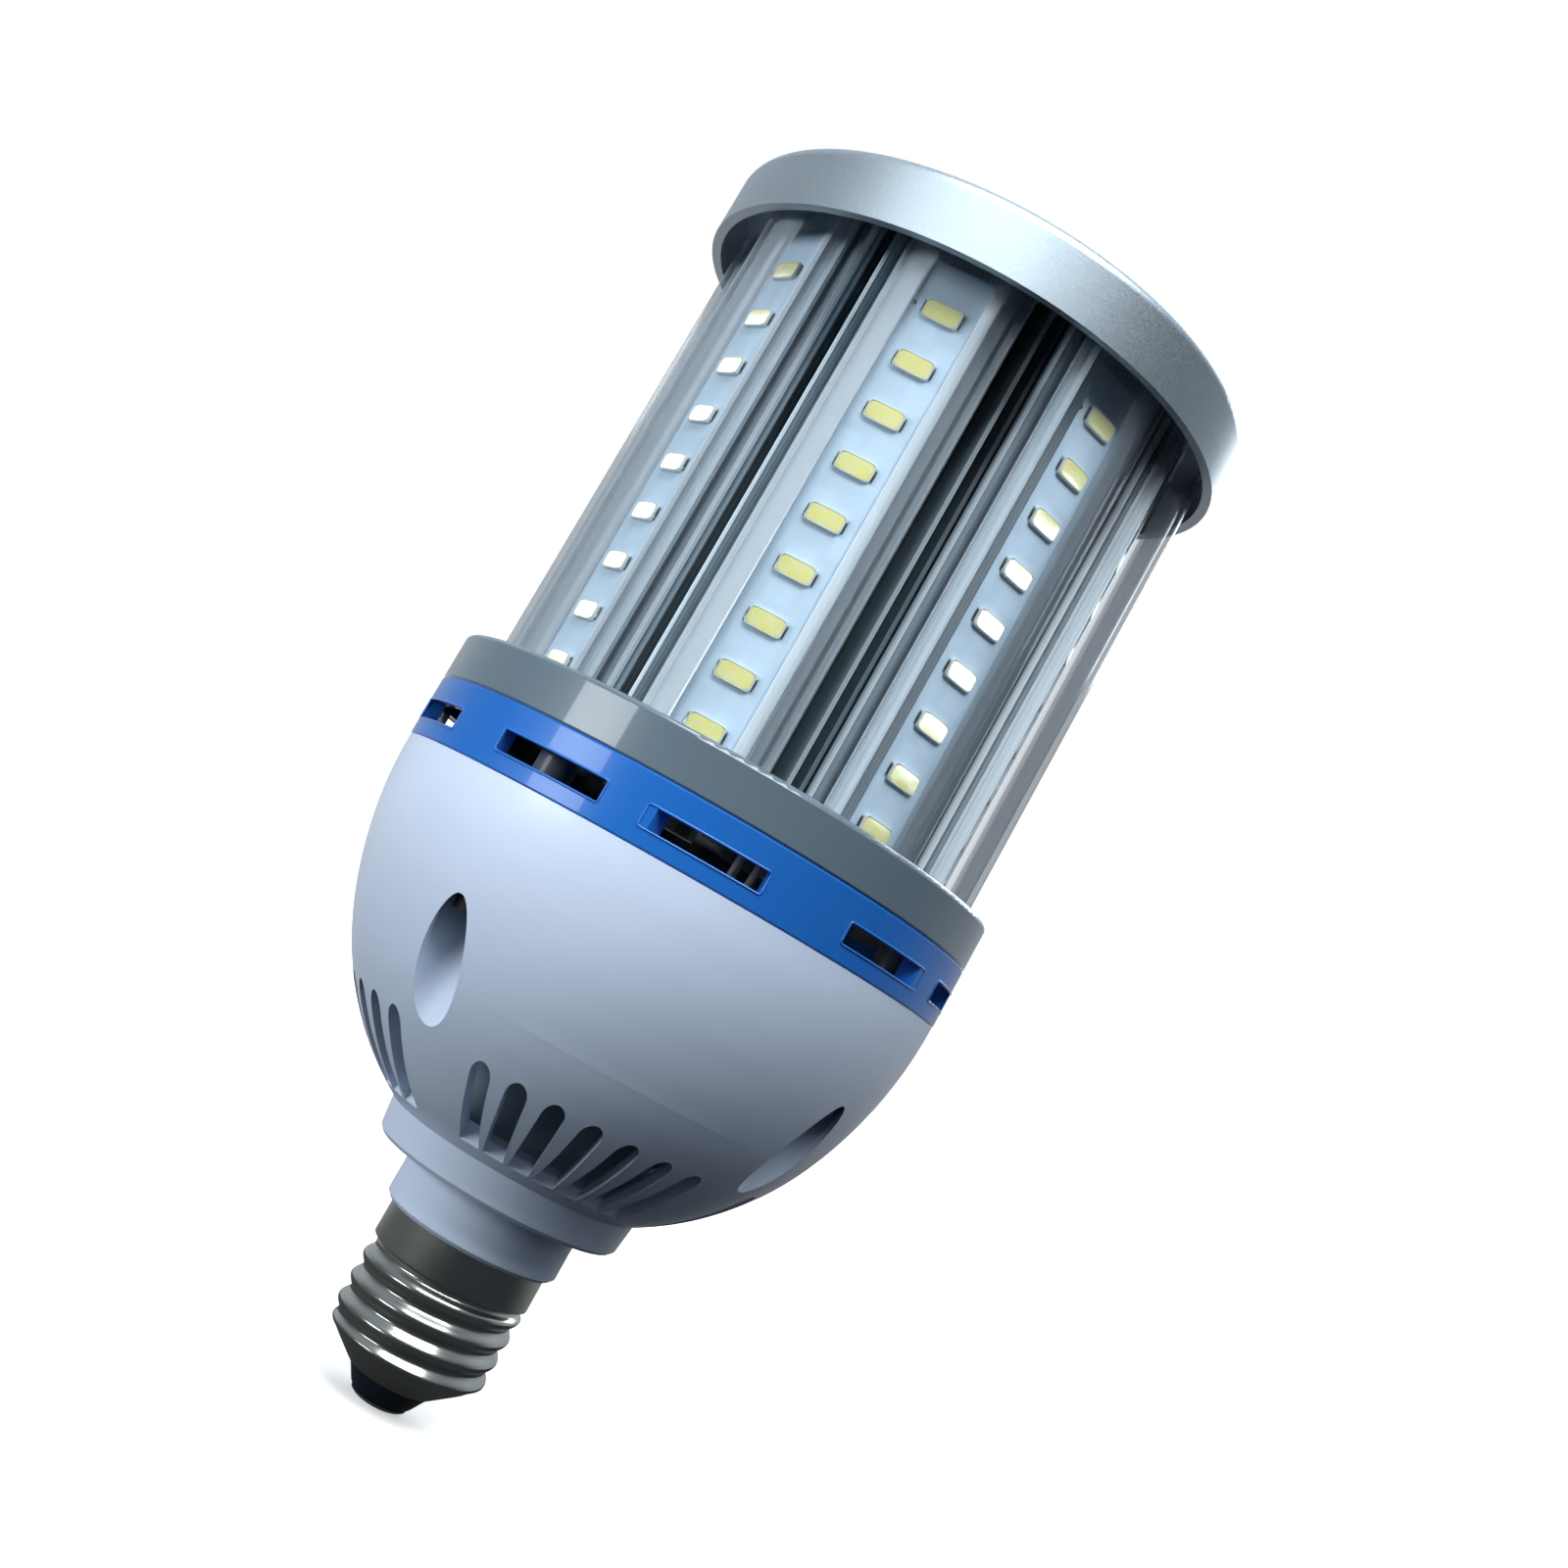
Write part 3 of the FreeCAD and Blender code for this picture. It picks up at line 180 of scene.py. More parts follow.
class ShaderTree:
    """A node tree that is filled by expressions."""

    def __init__(self, owner: bpy.types.ID) -> None:
        """Empties the owner's node tree.

        Args:
            owner: a material or world that uses nodes.
        """
        owner.use_nodes = True
        self.nodes = owner.node_tree.nodes
        self.links = owner.node_tree.links
        self.nodes.clear()

    def node(
        self,
        kind: str,
        settings: dict[str, Any] | None = None,
        values: dict[str | int, Any] | None = None,
        output: str | int = 0,
    ) -> Socket:
        """Adds a node.

        Args:
            kind: the node's type.
            settings: its properties.
            values: a number, a vector or a Socket for each input that is set.
            output: which output is wanted.

        Returns:
            That output.
        """
        made = self.nodes.new(kind)
        for name, value in (settings or {}).items():
            setattr(made, name, value)
        for key, value in (values or {}).items():
            if isinstance(value, Socket):
                self.links.new(value.output, made.inputs[key])
            else:
                made.inputs[key].default_value = value
        return Socket(self, made.outputs[output])

    def place(self) -> Socket:
        """Position on the object, in metres."""
        return self.node("ShaderNodeTexCoord", output="Object")

    def parts(self, place: Socket) -> list[Socket]:
        """X, Y and Z of a position."""
        return [self.node("ShaderNodeSeparateXYZ", None, {0: place}, axis) for axis in ("X", "Y", "Z")]

    def length(self, place: Socket) -> Socket:
        """Distance from the origin."""
        return self.node("ShaderNodeVectorMath", {"operation": "LENGTH"}, {0: place}, "Value")

    def plan_radius(self, place: Socket) -> Socket:
        """Distance from the Z axis."""
        values = {0: place, 1: (1.0, 1.0, 0.0)}
        return self.length(self.node("ShaderNodeVectorMath", {"operation": "MULTIPLY"}, values))

    def scaled(self, place: Socket, scale: Sequence[float]) -> Socket:
        """Position multiplied by a scale for each axis."""
        return self.node("ShaderNodeMapping", None, {"Vector": place, "Scale": tuple(scale)})

    def noise(self, place: Socket, scale: float, detail: float = 2.0) -> Socket:
        """Smooth noise from 0 to 1 with scale lumps to the metre."""
        return self.node("ShaderNodeTexNoise", None, {"Vector": place, "Scale": scale, "Detail": detail})

    def clamped(self, value: Socket) -> Socket:
        """Value held between 0 and 1."""
        return self.node("ShaderNodeClamp", None, {"Value": value})

    def mix(self, share: Any, first: Any, second: Any) -> Socket:
        """Colour between first and second: the node's colours are inputs 6 and 7 and output 2."""
        pair = [value if isinstance(value, Socket) else (*value, 1.0) for value in (first, second)]
        values = {0: share, 6: pair[0], 7: pair[1]}
        return self.node("ShaderNodeMix", {"data_type": "RGBA"}, values, output=2)

    def bump(self, height: Socket, depth: float) -> Socket:
        """Normal of a surface raised by a height from 0 to 1 times a depth in metres."""
        return self.node("ShaderNodeBump", None, {"Strength": 1.0, "Distance": depth, "Height": height})

    def ray(self, kind: Ray) -> Socket:
        """1 for rays of that kind and 0 for others."""
        return self.node("ShaderNodeLightPath", output=kind.value)

    def principled(self, colour: Any, roughness: Any, metallic: float, **more: Any) -> Socket:
        """Principled surface; more gives other inputs with underscores for spaces."""
        values = {name.replace("_", " "): value for name, value in more.items()}
        base = colour if isinstance(colour, Socket) else (*colour, 1.0)
        values.update({"Base Color": base, "Roughness": roughness, "Metallic": metallic})
        return self.node("ShaderNodeBsdfPrincipled", None, values)

    def show(self, surface: Socket, kind: str = "ShaderNodeOutputMaterial") -> None:
        """Ends the tree in its output."""
        end = self.nodes.new(kind)
        self.links.new(surface.output, end.inputs["Surface"])


def new_material(slot: Slot) -> tuple[bpy.types.Material, ShaderTree]:
    """Empty material named for its slot, and its tree."""
    material = bpy.data.materials.new("finish_" + slot.value)
    return material, ShaderTree(material)


@dataclass(frozen=True)
class MouldedPlastic:
    """Moulded plastic: slow clouding of the colour, fine grain and a soft shine."""

    slot: Slot
    colour: Colour
    roughness: float = 0.3
    clouding: float = 0.04
    grain: float = 0.5 * MM
    depth: float = 0.0008 * MM
    coat: float = 0.0

    def colour_over(self, tree: ShaderTree, place: Socket, outer: Socket) -> Socket:
        """Colour after what a kind of moulding adds to the plain one."""
        return outer

    def make(self) -> bpy.types.Material:
        """Builds the material."""
        material, tree = new_material(self.slot)
        place = tree.place()
        cloud = tree.noise(place, 45.0, 3.0)
        grain = tree.noise(place, 1.0 / self.grain, 2.0)
        darker = tuple(value * (1.0 - self.clouding) for value in self.colour)
        colour = self.colour_over(tree, place, tree.mix(cloud.step(0.35, 0.65), darker, self.colour))
        roughness = grain * 0.08 + cloud * 0.06 + (self.roughness - 0.07)
        normal = tree.bump(grain, self.depth)
        surface = tree.principled(
            colour, roughness, 0.0, Normal=normal, Coat_Weight=self.coat, Coat_Roughness=0.05
        )
        tree.show(surface)
        return material


@dataclass(frozen=True)
class HousingPlastic(MouldedPlastic):
    """The housing's moulding, with painted shade on the inner faces that its openings show.

    The bulged outline's radius falls from the rim by a power of the depth below it. What lies a
    wall inside that outline is an inner face, and is painted in shade. The pockets share that depth,
    and are told from the vents by the sine of the angle times their number. Their painted shade
    deepens only towards their roof.
    """

    rim_radius: float = 46.4 * MM
    rim_height: float = 90.0 * MM
    depth_to_ring: float = 48.6 * MM
    fall: float = 0.545
    bulge: float = 2.6
    skin: float = 1.3 * MM
    vents_foot: float = 42.0 * MM
    pillar_foot: float = 84.0 * MM
    vent_shade: Colour = (0.33, 0.39, 0.49)
    pillar_shade: Colour = (0.10, 0.11, 0.14)
    pocket_shade: Colour = (0.22, 0.25, 0.32)
    pocket_dim: float = 62.0 * MM
    pocket_roof: float = 73.4 * MM
    pocket_count: float = 4.0

    def colour_over(self, tree: ShaderTree, place: Socket, outer: Socket) -> Socket:
        """Outer colour with painted shade on the inner faces."""
        x, y, height = tree.parts(place)
        drop = tree.clamped((self.rim_height - height) / self.depth_to_ring)
        outline = self.rim_radius * (1.0 - drop ** self.bulge * self.fall)
        inner = (outline - tree.plan_radius(place)).step(self.skin, self.skin * 1.6)
        turn = tree.node("ShaderNodeMath", {"operation": "ARCTAN2"}, {0: x, 1: 0.0 - y})
        wave = tree.node("ShaderNodeMath", {"operation": "SINE"}, {0: turn * self.pocket_count})
        vents = wave.step(-0.5, 0.0)
        above = height.step(self.pillar_foot, self.pillar_foot + 2.0 * MM)
        # Painted shade: the pockets' inner faces darken towards their roof, and the inner faces behind the
        # vents and above the pillars' foot take flat painted shade colours.
        pocket = inner * (1.0 - vents) * height.step(self.pocket_dim, self.pocket_roof)
        outer = tree.mix(pocket, outer, self.pocket_shade)
        shade = inner * tree.clamped(vents + above)
        low = height.step(self.vents_foot, self.vents_foot + 1.0 * MM)
        dull_and_painted_shade = tree.mix(above, self.vent_shade, self.pillar_shade)
        return tree.mix(shade * low, outer, dull_and_painted_shade)


@dataclass(frozen=True)
class SatinPaint:
    """Metal-flake paint: satin base with a sparkle of flakes and a fine orange peel."""

    slot: Slot
    colour: Colour
    flake: float = 0.16 * MM
    roughness: float = 0.42
    metallic: float = 0.85

    def make(self) -> bpy.types.Material:
        """Builds the material."""
        material, tree = new_material(self.slot)
        place = tree.place()
        cells = {"Vector": place, "Scale": 1.0 / self.flake}
        flakes = tree.node("ShaderNodeTexVoronoi", None, cells, "Color")
        spark = tree.node("ShaderNodeSeparateColor", None, {"Color": flakes}, "Red")
        peel = tree.noise(place, 900.0, 2.0)
        bright = tuple(min(value * 1.07, 1.0) for value in self.colour)
        dark = tuple(value * 0.93 for value in self.colour)
        colour = tree.mix(spark.step(0.1, 0.9), dark, bright)
        roughness = spark * 0.12 + (self.roughness - 0.06)
        normal = tree.bump(spark * 0.6 + peel * 0.4, 0.0022 * MM)
        tree.show(tree.principled(colour, roughness, self.metallic, Normal=normal))
        return material


@dataclass(frozen=True)
class ExtrudedMetal:
    """Extruded aluminium with die lines along Z, and painted shade where it lies deep between the arms."""

    slot: Slot
    colour: Colour
    painted_shade_colour: Colour
    deep_radius: float
    bright_radius: float
    roughness: float = 0.36
    metallic: float = 0.35
    deep_metallic: float = 0.0
    line: float = 0.16 * MM

    def make(self) -> bpy.types.Material:
        """Builds the material."""
        material, tree = new_material(self.slot)
        place = tree.place()
        lines = tree.noise(tree.scaled(place, (1.0, 1.0, 0.0004)), 1.0 / self.line, 2.0)
        stains = tree.noise(tree.scaled(place, (1.0, 1.0, 0.2)), 60.0, 3.0)
        # Painted shade: inside deep_radius the colour falls to the painted shade colour and the metal turns
        # matt, standing in for the shade between the arms.
        depth = tree.plan_radius(place).step(self.deep_radius, self.bright_radius)
        worn = tuple(value * 0.8 for value in self.colour)
        metal = tree.mix(lines.step(0.35, 0.65), worn, self.colour)
        dark = tuple(value * 0.55 for value in self.painted_shade_colour)
        deep = tree.mix(lines.step(0.42, 0.58), dark, self.painted_shade_colour)
        colour = tree.mix(depth, deep, metal)
        roughness = lines * 0.1 + stains * 0.06 + (self.roughness - 0.08) + (1.0 - depth) * 0.15
        normal = tree.bump(lines, 0.0012 * MM)
        metallic = depth * (self.metallic - self.deep_metallic) + self.deep_metallic
        tree.show(tree.principled(colour, roughness, metallic, Normal=normal))
        return material


@dataclass(frozen=True)
class PlatedSheet:
    """Plated thin sheet: mirror-like with faint smears and drawing lines."""

    slot: Slot
    colour: Colour
    roughness: float = 0.2

    def make(self) -> bpy.types.Material:
        """Builds the material."""
        material, tree = new_material(self.slot)
        place = tree.place()
        smear = tree.noise(place, 90.0, 2.0)
        lines = tree.noise(tree.scaled(place, (0.05, 0.05, 1.0)), 1500.0, 1.0)
        dull_and_painted_shade = tuple(value * 0.8 for value in self.colour)
        colour = tree.mix(smear.step(0.3, 0.8), self.colour, dull_and_painted_shade)
        roughness = smear * 0.06 + lines * 0.05 + (self.roughness - 0.05)
        tree.show(tree.principled(colour, roughness, 1.0, Normal=tree.bump(lines, 0.0004 * MM)))
        return material


@dataclass(frozen=True)
class SolderMask:
    """Printed board's mask: even colour over a faint print of the copper below."""

    slot: Slot
    colour: Colour
    roughness: float = 0.6

    def make(self) -> bpy.types.Material:
        """Builds the material."""
        material, tree = new_material(self.slot)
        place = tree.place()
        cells = {"Vector": place, "Scale": 180.0}
        copper = tree.node("ShaderNodeTexVoronoi", {"distance": "CHEBYCHEV"}, cells, "Distance")
        weave = tree.noise(place, 4200.0, 2.0)
        shade = tuple(value * 0.93 for value in self.colour)
        colour = tree.mix(copper.step(0.3, 0.5), self.colour, shade)
        roughness = weave * 0.1 + (self.roughness - 0.05)
        normal = tree.bump(weave, 0.003 * MM)
        tree.show(tree.principled(colour, roughness, 0.0, Normal=normal, Specular_IOR_Level=0.25))
        return material


@dataclass(frozen=True)
class PhosphorGel:
    """Cured silicone with phosphor: glossy, with pale cloudy patches."""

    slot: Slot
    colour: Colour
    roughness: float = 0.12

    def make(self) -> bpy.types.Material:
        """Builds the material."""
        material, tree = new_material(self.slot)
        place = tree.place()
        cloud = tree.noise(place, 700.0, 2.0)
        pale = tuple(value * 0.75 + 0.25 for value in self.colour)
        colour = tree.mix(cloud.step(0.3, 0.75), self.colour, pale)
        grains = tree.noise(place, 9000.0, 1.0)
        normal = tree.bump(grains, 0.0008 * MM)
        gloss = {"Coat_Weight": 1.0, "Coat_Roughness": 0.16, "IOR": 1.7}
        tree.show(tree.principled(colour, grains * 0.06 + self.roughness, 0.0, Normal=normal, **gloss))
        return material


@dataclass(frozen=True)
class ClearPlastic:
    """Thin clear extrusion with faint lines: greyer and shining at a slant, most of all at its edge."""

    slot: Slot
    tint: Colour
    shine: Colour
    roughness: float = 0.1
    mirror: float = 0.3
    lost: float = 0.034
    kept: float = 0.65
    haze: float = 0.012
    edge: float = 0.5
    edge_start: float = 0.76
    edge_end: float = 0.95

    def make(self) -> bpy.types.Material:
        """Builds the material."""
        material, tree = new_material(self.slot)
        place = tree.place()
        lines = tree.noise(tree.scaled(place, (1.0, 1.0, 0.002)), 1800.0, 2.0)
        normal = tree.bump(lines, 0.0004 * MM)
        slant = tree.node("ShaderNodeFresnel", None, {"IOR": 1.45, "Normal": normal})
        clear = tree.node("ShaderNodeBsdfTransparent", None, {"Color": (*self.tint, 1.0)})
        gloss = tree.principled(self.shine, lines * 0.06 + self.roughness, self.mirror, Normal=normal)
        facing = tree.node("ShaderNodeLayerWeight", None, {"Blend": 0.5}, "Facing")
        edge = facing.step(self.edge_start, self.edge_end) * self.edge
        share = (slant - self.lost) * self.kept + lines * self.haze + edge
        tree.show(tree.node("ShaderNodeMixShader", None, {0: share, 1: clear, 2: gloss}))
        return material


@dataclass(frozen=True)
class BareMetal:
    """Small turned or pressed metal: brushed tone with fine scratches."""

    slot: Slot
    colour: Colour
    roughness: float = 0.3

    def make(self) -> bpy.types.Material:
        """Builds the material."""
        material, tree = new_material(self.slot)
        place = tree.place()
        scratch = tree.noise(tree.scaled(place, (1.0, 0.15, 1.0)), 5200.0, 2.0)
        dull_and_painted_shade = tuple(value * 0.8 for value in self.colour)
        colour = tree.mix(scratch, dull_and_painted_shade, self.colour)
        roughness = scratch * 0.15 + (self.roughness - 0.07)
        tree.show(tree.principled(colour, roughness, 1.0, Normal=tree.bump(scratch, 0.004 * MM)))
        return material


FINISHES = (
    # The aluminium's second colour is its painted shade deep between the arms.
    ExtrudedMetal(Slot.ALUMINIUM, (0.84, 0.90, 0.95), (0.50, 0.62, 0.70), 34.2 * MM, 36.0 * MM),
    SatinPaint(Slot.CAP, (0.41, 0.475, 0.53)),
    MouldedPlastic(Slot.GREY, (0.14, 0.19, 0.235), roughness=0.3, coat=0.7),
    MouldedPlastic(Slot.BLUE, (0.014, 0.155, 0.57), roughness=0.3, coat=0.4),
    HousingPlastic(Slot.WHITE, (0.70, 0.80, 0.98), roughness=0.36, clouding=0.02, coat=0.15),
    PlatedSheet(Slot.NICKEL, (0.60, 0.62, 0.58)),
    MouldedPlastic(Slot.INSULATOR, (0.006, 0.014, 0.024), roughness=0.2, coat=0.2),
    SolderMask(Slot.BOARD, (0.68, 0.82, 0.95)),
    MouldedPlastic(Slot.PACKAGE, (0.80, 0.83, 0.82), roughness=0.4, depth=0.001 * MM),
    PhosphorGel(Slot.PHOSPHOR, (1.0, 0.925, 0.30)),
    ClearPlastic(Slot.COVER, (0.925, 0.94, 0.95), (0.60, 0.65, 0.70)),
    BareMetal(Slot.SCREW, (0.42, 0.43, 0.45), roughness=0.4),
    MouldedPlastic(Slot.DRIVER_BOARD, (0.03, 0.16, 0.06), roughness=0.35),
    MouldedPlastic(Slot.FERRITE, (0.035, 0.035, 0.038), roughness=0.6, depth=0.02 * MM),
    MouldedPlastic(Slot.TAPE, (0.75, 0.52, 0.06), roughness=0.25, clouding=0.1),
    MouldedPlastic(Slot.SLEEVE, (0.012, 0.018, 0.05), roughness=0.22),
    MouldedPlastic(Slot.FILM, (0.42, 0.06, 0.02), roughness=0.25),
    MouldedPlastic(Slot.BLACK, (0.03, 0.03, 0.033), roughness=0.5),
    BareMetal(Slot.WINDING, (0.62, 0.24, 0.09), roughness=0.35),
    MouldedPlastic(Slot.WIRE, (0.62, 0.62, 0.60), roughness=0.4),
    MouldedPlastic(Slot.RESISTOR, (0.05, 0.17, 0.09), roughness=0.35, clouding=0.2),
)

# Painted shade: the vent guard, a black moulding, is coloured as white plastic in shade, so the vents look
# dimly lit inside.
VENT_GUARD_PAINTED_SHADE = MouldedPlastic(Slot.BLACK, (0.40, 0.49, 0.60), roughness=0.6)
# Painted shade: the housing screws are near black because they sit in the pockets' shade.
SCREW_IN_PAINTED_SHADE = BareMetal(Slot.SCREW, (0.05, 0.05, 0.055), roughness=0.55)


class Workshop:
    """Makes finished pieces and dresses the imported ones."""

    def __init__(self) -> None:
        """Builds every finish once."""
        self.materials = {finish.slot: finish.make() for finish in FINISHES}
        self.own = {"vent_guard": VENT_GUARD_PAINTED_SHADE.make(), "housing_screws": SCREW_IN_PAINTED_SHADE.make()}

    def dress(self, node: str, slot: Slot) -> None:
        """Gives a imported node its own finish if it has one, and else its slot's."""
        part = frame["nodes"][node]
        for place in part.material_slots:
            place.material = self.own.get(node, self.materials[slot])
        LOG.info("dressed %s as %s", node, slot.value)

    def piece(self, name: str, mesh: bpy.types.Mesh, slot: Slot, *stands_for: str) -> bpy.types.Object:
        """Adds a new piece that rides on the lamp.

        Args:
            name: the piece's name.
            mesh: its mesh, in the row frame.
            slot: the finish.
            stands_for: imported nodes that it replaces.

        Returns:
            The piece.
        """
        made = bpy.data.objects.new(name, mesh)
        mesh.materials.append(self.materials[slot])
        bpy.context.scene.collection.objects.link(made)
        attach(made, "root")
        if stands_for:
            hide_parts(*stands_for)
        LOG.info("made %s with %d faces", name, len(mesh.polygons))
        return made


def polar(radius: Any, angle: Any) -> tuple[Any, Any]:
    """Plan point at an angle in degrees from -Y towards +X."""
    turn = np.radians(angle)
    return radius * np.sin(turn), -radius * np.cos(turn)


def smooth_step(value: np.ndarray, low: float, high: float) -> np.ndarray:
    """Cubic step from 0 at low to 1 at high."""
    share = np.clip((value - low) / (high - low), 0.0, 1.0)
    return share * share * (3.0 - 2.0 * share)


def grid_faces(rows: int, columns: int, closed_rows: bool) -> np.ndarray:
    """Quads of a grid whose points are counted row by row and whose last column joins the first.

    Args:
        rows: number of rows.
        columns: number of columns.
        closed_rows: joins the last row to the first.

    Returns:
        One row of four point numbers for each quad.
    """
    row = np.arange(rows if closed_rows else rows - 1)[:, None]
    column = np.arange(columns)[None, :]
    after_row = (row + 1) % rows
    after_column = (column + 1) % columns
    quads = [row * columns + column, row * columns + after_column,
             after_row * columns + after_column, after_row * columns + column]
    return np.stack([part + np.zeros_like(quads[0]) for part in quads], axis=-1).reshape(-1, 4)


def make_mesh(name: str, points: np.ndarray, faces: Sequence[Sequence[int]],
              crease: float = 35.0) -> bpy.types.Mesh:
    """Mesh with outward faces, smooth where its faces meet at less than the crease.

    Args:
        name: the mesh's name.
        points: places of the points, in metres.
        faces: point numbers of each face.
        crease: angle in degrees.

    Returns:
        The mesh.
    """
    mesh = bpy.data.meshes.new(name)
    mesh.from_pydata(points.reshape(-1, 3).tolist(), [], [list(map(int, face)) for face in faces])
    mesh.update()
    if enclosed_volume(mesh) < 0.0:
        mesh.flip_normals()
    mesh.shade_smooth()
    mesh.set_sharp_from_angle(angle=math.radians(crease))
    return mesh


def enclosed_volume(mesh: bpy.types.Mesh) -> float:
    """Signed volume, as the sum of each triangle's scalar triple product over six."""
    mesh.calc_loop_triangles()
    corners = np.zeros(len(mesh.loop_triangles) * 3, np.int32)
    mesh.loop_triangles.foreach_get("vertices", corners)
    places = np.zeros(len(mesh.vertices) * 3, np.float64)
    mesh.vertices.foreach_get("co", places)
    triangles = places.reshape(-1, 3)[corners.reshape(-1, 3)]
    first, second, third = triangles[:, 0], triangles[:, 1], triangles[:, 2]
    return float(np.einsum("ij,ij->i", first, np.cross(second, third)).sum() / 6.0)


def lathe(name: str, profile: Sequence[tuple[float, float]], segments: int = 128) -> bpy.types.Mesh:
    """Turned form: each (radius, height) of the outline is carried round Z.

    Args:
        name: the mesh's name.
        profile: outline from pole to pole, with its first and last radius above nothing.
        segments: columns round the axis.

    Returns:
        The closed mesh.
    """
    outline = np.array(profile)
    angles = np.arange(segments) * 360.0 / segments
    x, y = polar(outline[:, 0:1], angles[None, :])
    points = np.stack([x, y, outline[:, 1:2] + np.zeros_like(x)], axis=-1)
    rows = len(outline)
    faces = grid_faces(rows, segments, closed_rows=False).tolist()
    faces.append(list(range(segments)))
    faces.append(list(range((rows - 1) * segments, rows * segments)))
    return make_mesh(name, points, faces)


def round_corner(before: tuple[float, float], corner: tuple[float, float], after: tuple[float, float],
                 reach: float, steps: int = 6) -> list[tuple[float, float]]:
    """Outline points that round a corner off by a quadratic curve.

    Args:
        before: point before the corner.
        corner: the corner.
        after: point after it.
        reach: how far from the corner the curve starts and ends.
        steps: number of stretches.

    Returns:
        The curve's points.
    """
    middle = np.array(corner)
    start = middle + (np.array(before) - middle) / np.linalg.norm(np.array(before) - middle) * reach
    end = middle + (np.array(after) - middle) / np.linalg.norm(np.array(after) - middle) * reach
    share = np.linspace(0.0, 1.0, steps + 1)[:, None]
    curve = (1 - share) ** 2 * start + 2 * share * (1 - share) * middle + share ** 2 * end
    return [tuple(point) for point in curve]


@dataclass
class ScrewBase:
    """Plated sheet cap with its rolled thread, the insulator and the centre contact."""

    shop: Workshop
    pitch: float = 3.629 * MM
    first_crest: float = 9.6 * MM
    root_radius: float = 12.1 * MM
    crest_radius: float = 13.1 * MM
    band_radius: float = 13.15 * MM
    wall: float = 0.3 * MM
    cone_mouth: float = 7.2 * MM
    cone_low: float = 4.3 * MM
    cone_high: float = 8.2 * MM
    band_low: float = 21.8 * MM
    band_step: float = 0.5 * MM
    cone_blend: float = 0.45 * MM
    fade_in: tuple[float, float] = (-0.6 * MM, 1.2 * MM)
    fade_out: tuple[float, float] = (-1.3 * MM, -0.1 * MM)
    crest_power: float = 0.85
    bead_foot: float = 4.8 * MM
    button_radius: float = 4.6 * MM
    button_top: float = 0.9 * MM
    pole_radius: float = 1.6 * MM
    columns: int = 192
    outer_rows: int = 150
    inner_rows: int = 70

    def radius(self, angle: np.ndarray, height: np.ndarray, inset: float) -> np.ndarray:
        """Radius of the sheet at an angle and a height.

        The plain sheet is a cone that runs softly into a cylinder and steps out to the band. The
        thread adds a raised cosine of the phase, which is the height over the first crest less the
        turn, in pitches, and it fades in and out at its ends.

        Args:
            angle: turns from +X, anticlockwise.
            height: metres above the tip.
            inset: metres that the surface lies within the outer one.

        Returns:
            The radius.
        """
        slope = (self.root_radius - self.cone_mouth) / (self.cone_high - self.cone_low)
        cone = self.cone_mouth + (height - self.cone_low) * slope
        soft = self.cone_blend
        plain = -soft * np.logaddexp(-cone / soft, -self.root_radius / soft)
        band = smooth_step(height, self.band_low, self.band_low + self.band_step)
        plain = plain + (self.band_radius - self.root_radius) * band
        phase = (height - self.first_crest) / self.pitch - angle
        rise = smooth_step(height, *(self.cone_high + reach for reach in self.fade_in))
        fall = smooth_step(height, *(self.band_low + reach for reach in self.fade_out))
        fade = rise * (1.0 - fall)
        ridge = (0.5 + 0.5 * np.cos(2.0 * np.pi * phase)) ** self.crest_power
        return plain + (self.crest_radius - self.root_radius) * ridge * fade - inset

    def shell_mesh(self) -> bpy.types.Mesh:
        """Sheet as one closed surface: down the outside and up the inside."""
        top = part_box("screw_shell")[1].z
        outside = np.linspace(top, self.cone_low, self.outer_rows)
        inside = np.linspace(self.cone_low, top, self.inner_rows)
        height = np.concatenate([outside, inside])[:, None]
        inset = np.concatenate([np.zeros(self.outer_rows), np.full(self.inner_rows, self.wall)])[:, None]
        turn = (np.arange(self.columns) / self.columns)[None, :]
        radius = self.radius(turn, height, inset)
        points = np.stack([
            radius * np.cos(2.0 * np.pi * turn), radius * np.sin(2.0 * np.pi * turn),
            height + np.zeros_like(radius),
        ], axis=-1)
        faces = grid_faces(len(height), self.columns, closed_rows=True)
        return make_mesh("rolled_screw_shell", points, faces, 50.0)

    def insulator_mesh(self) -> bpy.types.Mesh:
        """Glossy bead: cone with a rounded foot, closed at both ends."""
        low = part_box("contact_insulator")[0].z
        high = self.cone_high
        foot, mouth, pole = self.bead_foot, self.cone_mouth - self.wall, self.pole_radius
        outline = [(pole, low)]
        outline += round_corner((pole, low), (foot, low), (mouth, self.cone_low), 0.9 * MM)
        outline += round_corner((foot, low), (mouth, self.cone_low), (mouth, high), 0.5 * MM)
        outline += [(mouth, high), (pole, high)]
        return lathe("insulator_bead", outline, 96)

    def contact_mesh(self) -> bpy.types.Mesh:
        """Pressed button: a shallow dome with a rolled edge."""
        low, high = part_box("centre_contact")[0].z, self.button_top
        radius = self.button_radius
        share = np.linspace(0.02, 1.0, 18)
        rise = (high - low) * 0.72 * share ** 6
        outline = [(radius * part, low + lift) for part, lift in zip(share, rise)]
        outline += [(radius, high), (self.pole_radius, high)]
        return lathe("contact_button", outline, 96)

    def build(self) -> None:
        """Makes the three pieces."""
        self.shop.piece("rolled_screw_shell", self.shell_mesh(), Slot.NICKEL, "screw_shell")
        self.shop.piece("insulator_bead", self.insulator_mesh(), Slot.INSULATOR, "contact_insulator")
        self.shop.piece("contact_button", self.contact_mesh(), Slot.NICKEL, "centre_contact")


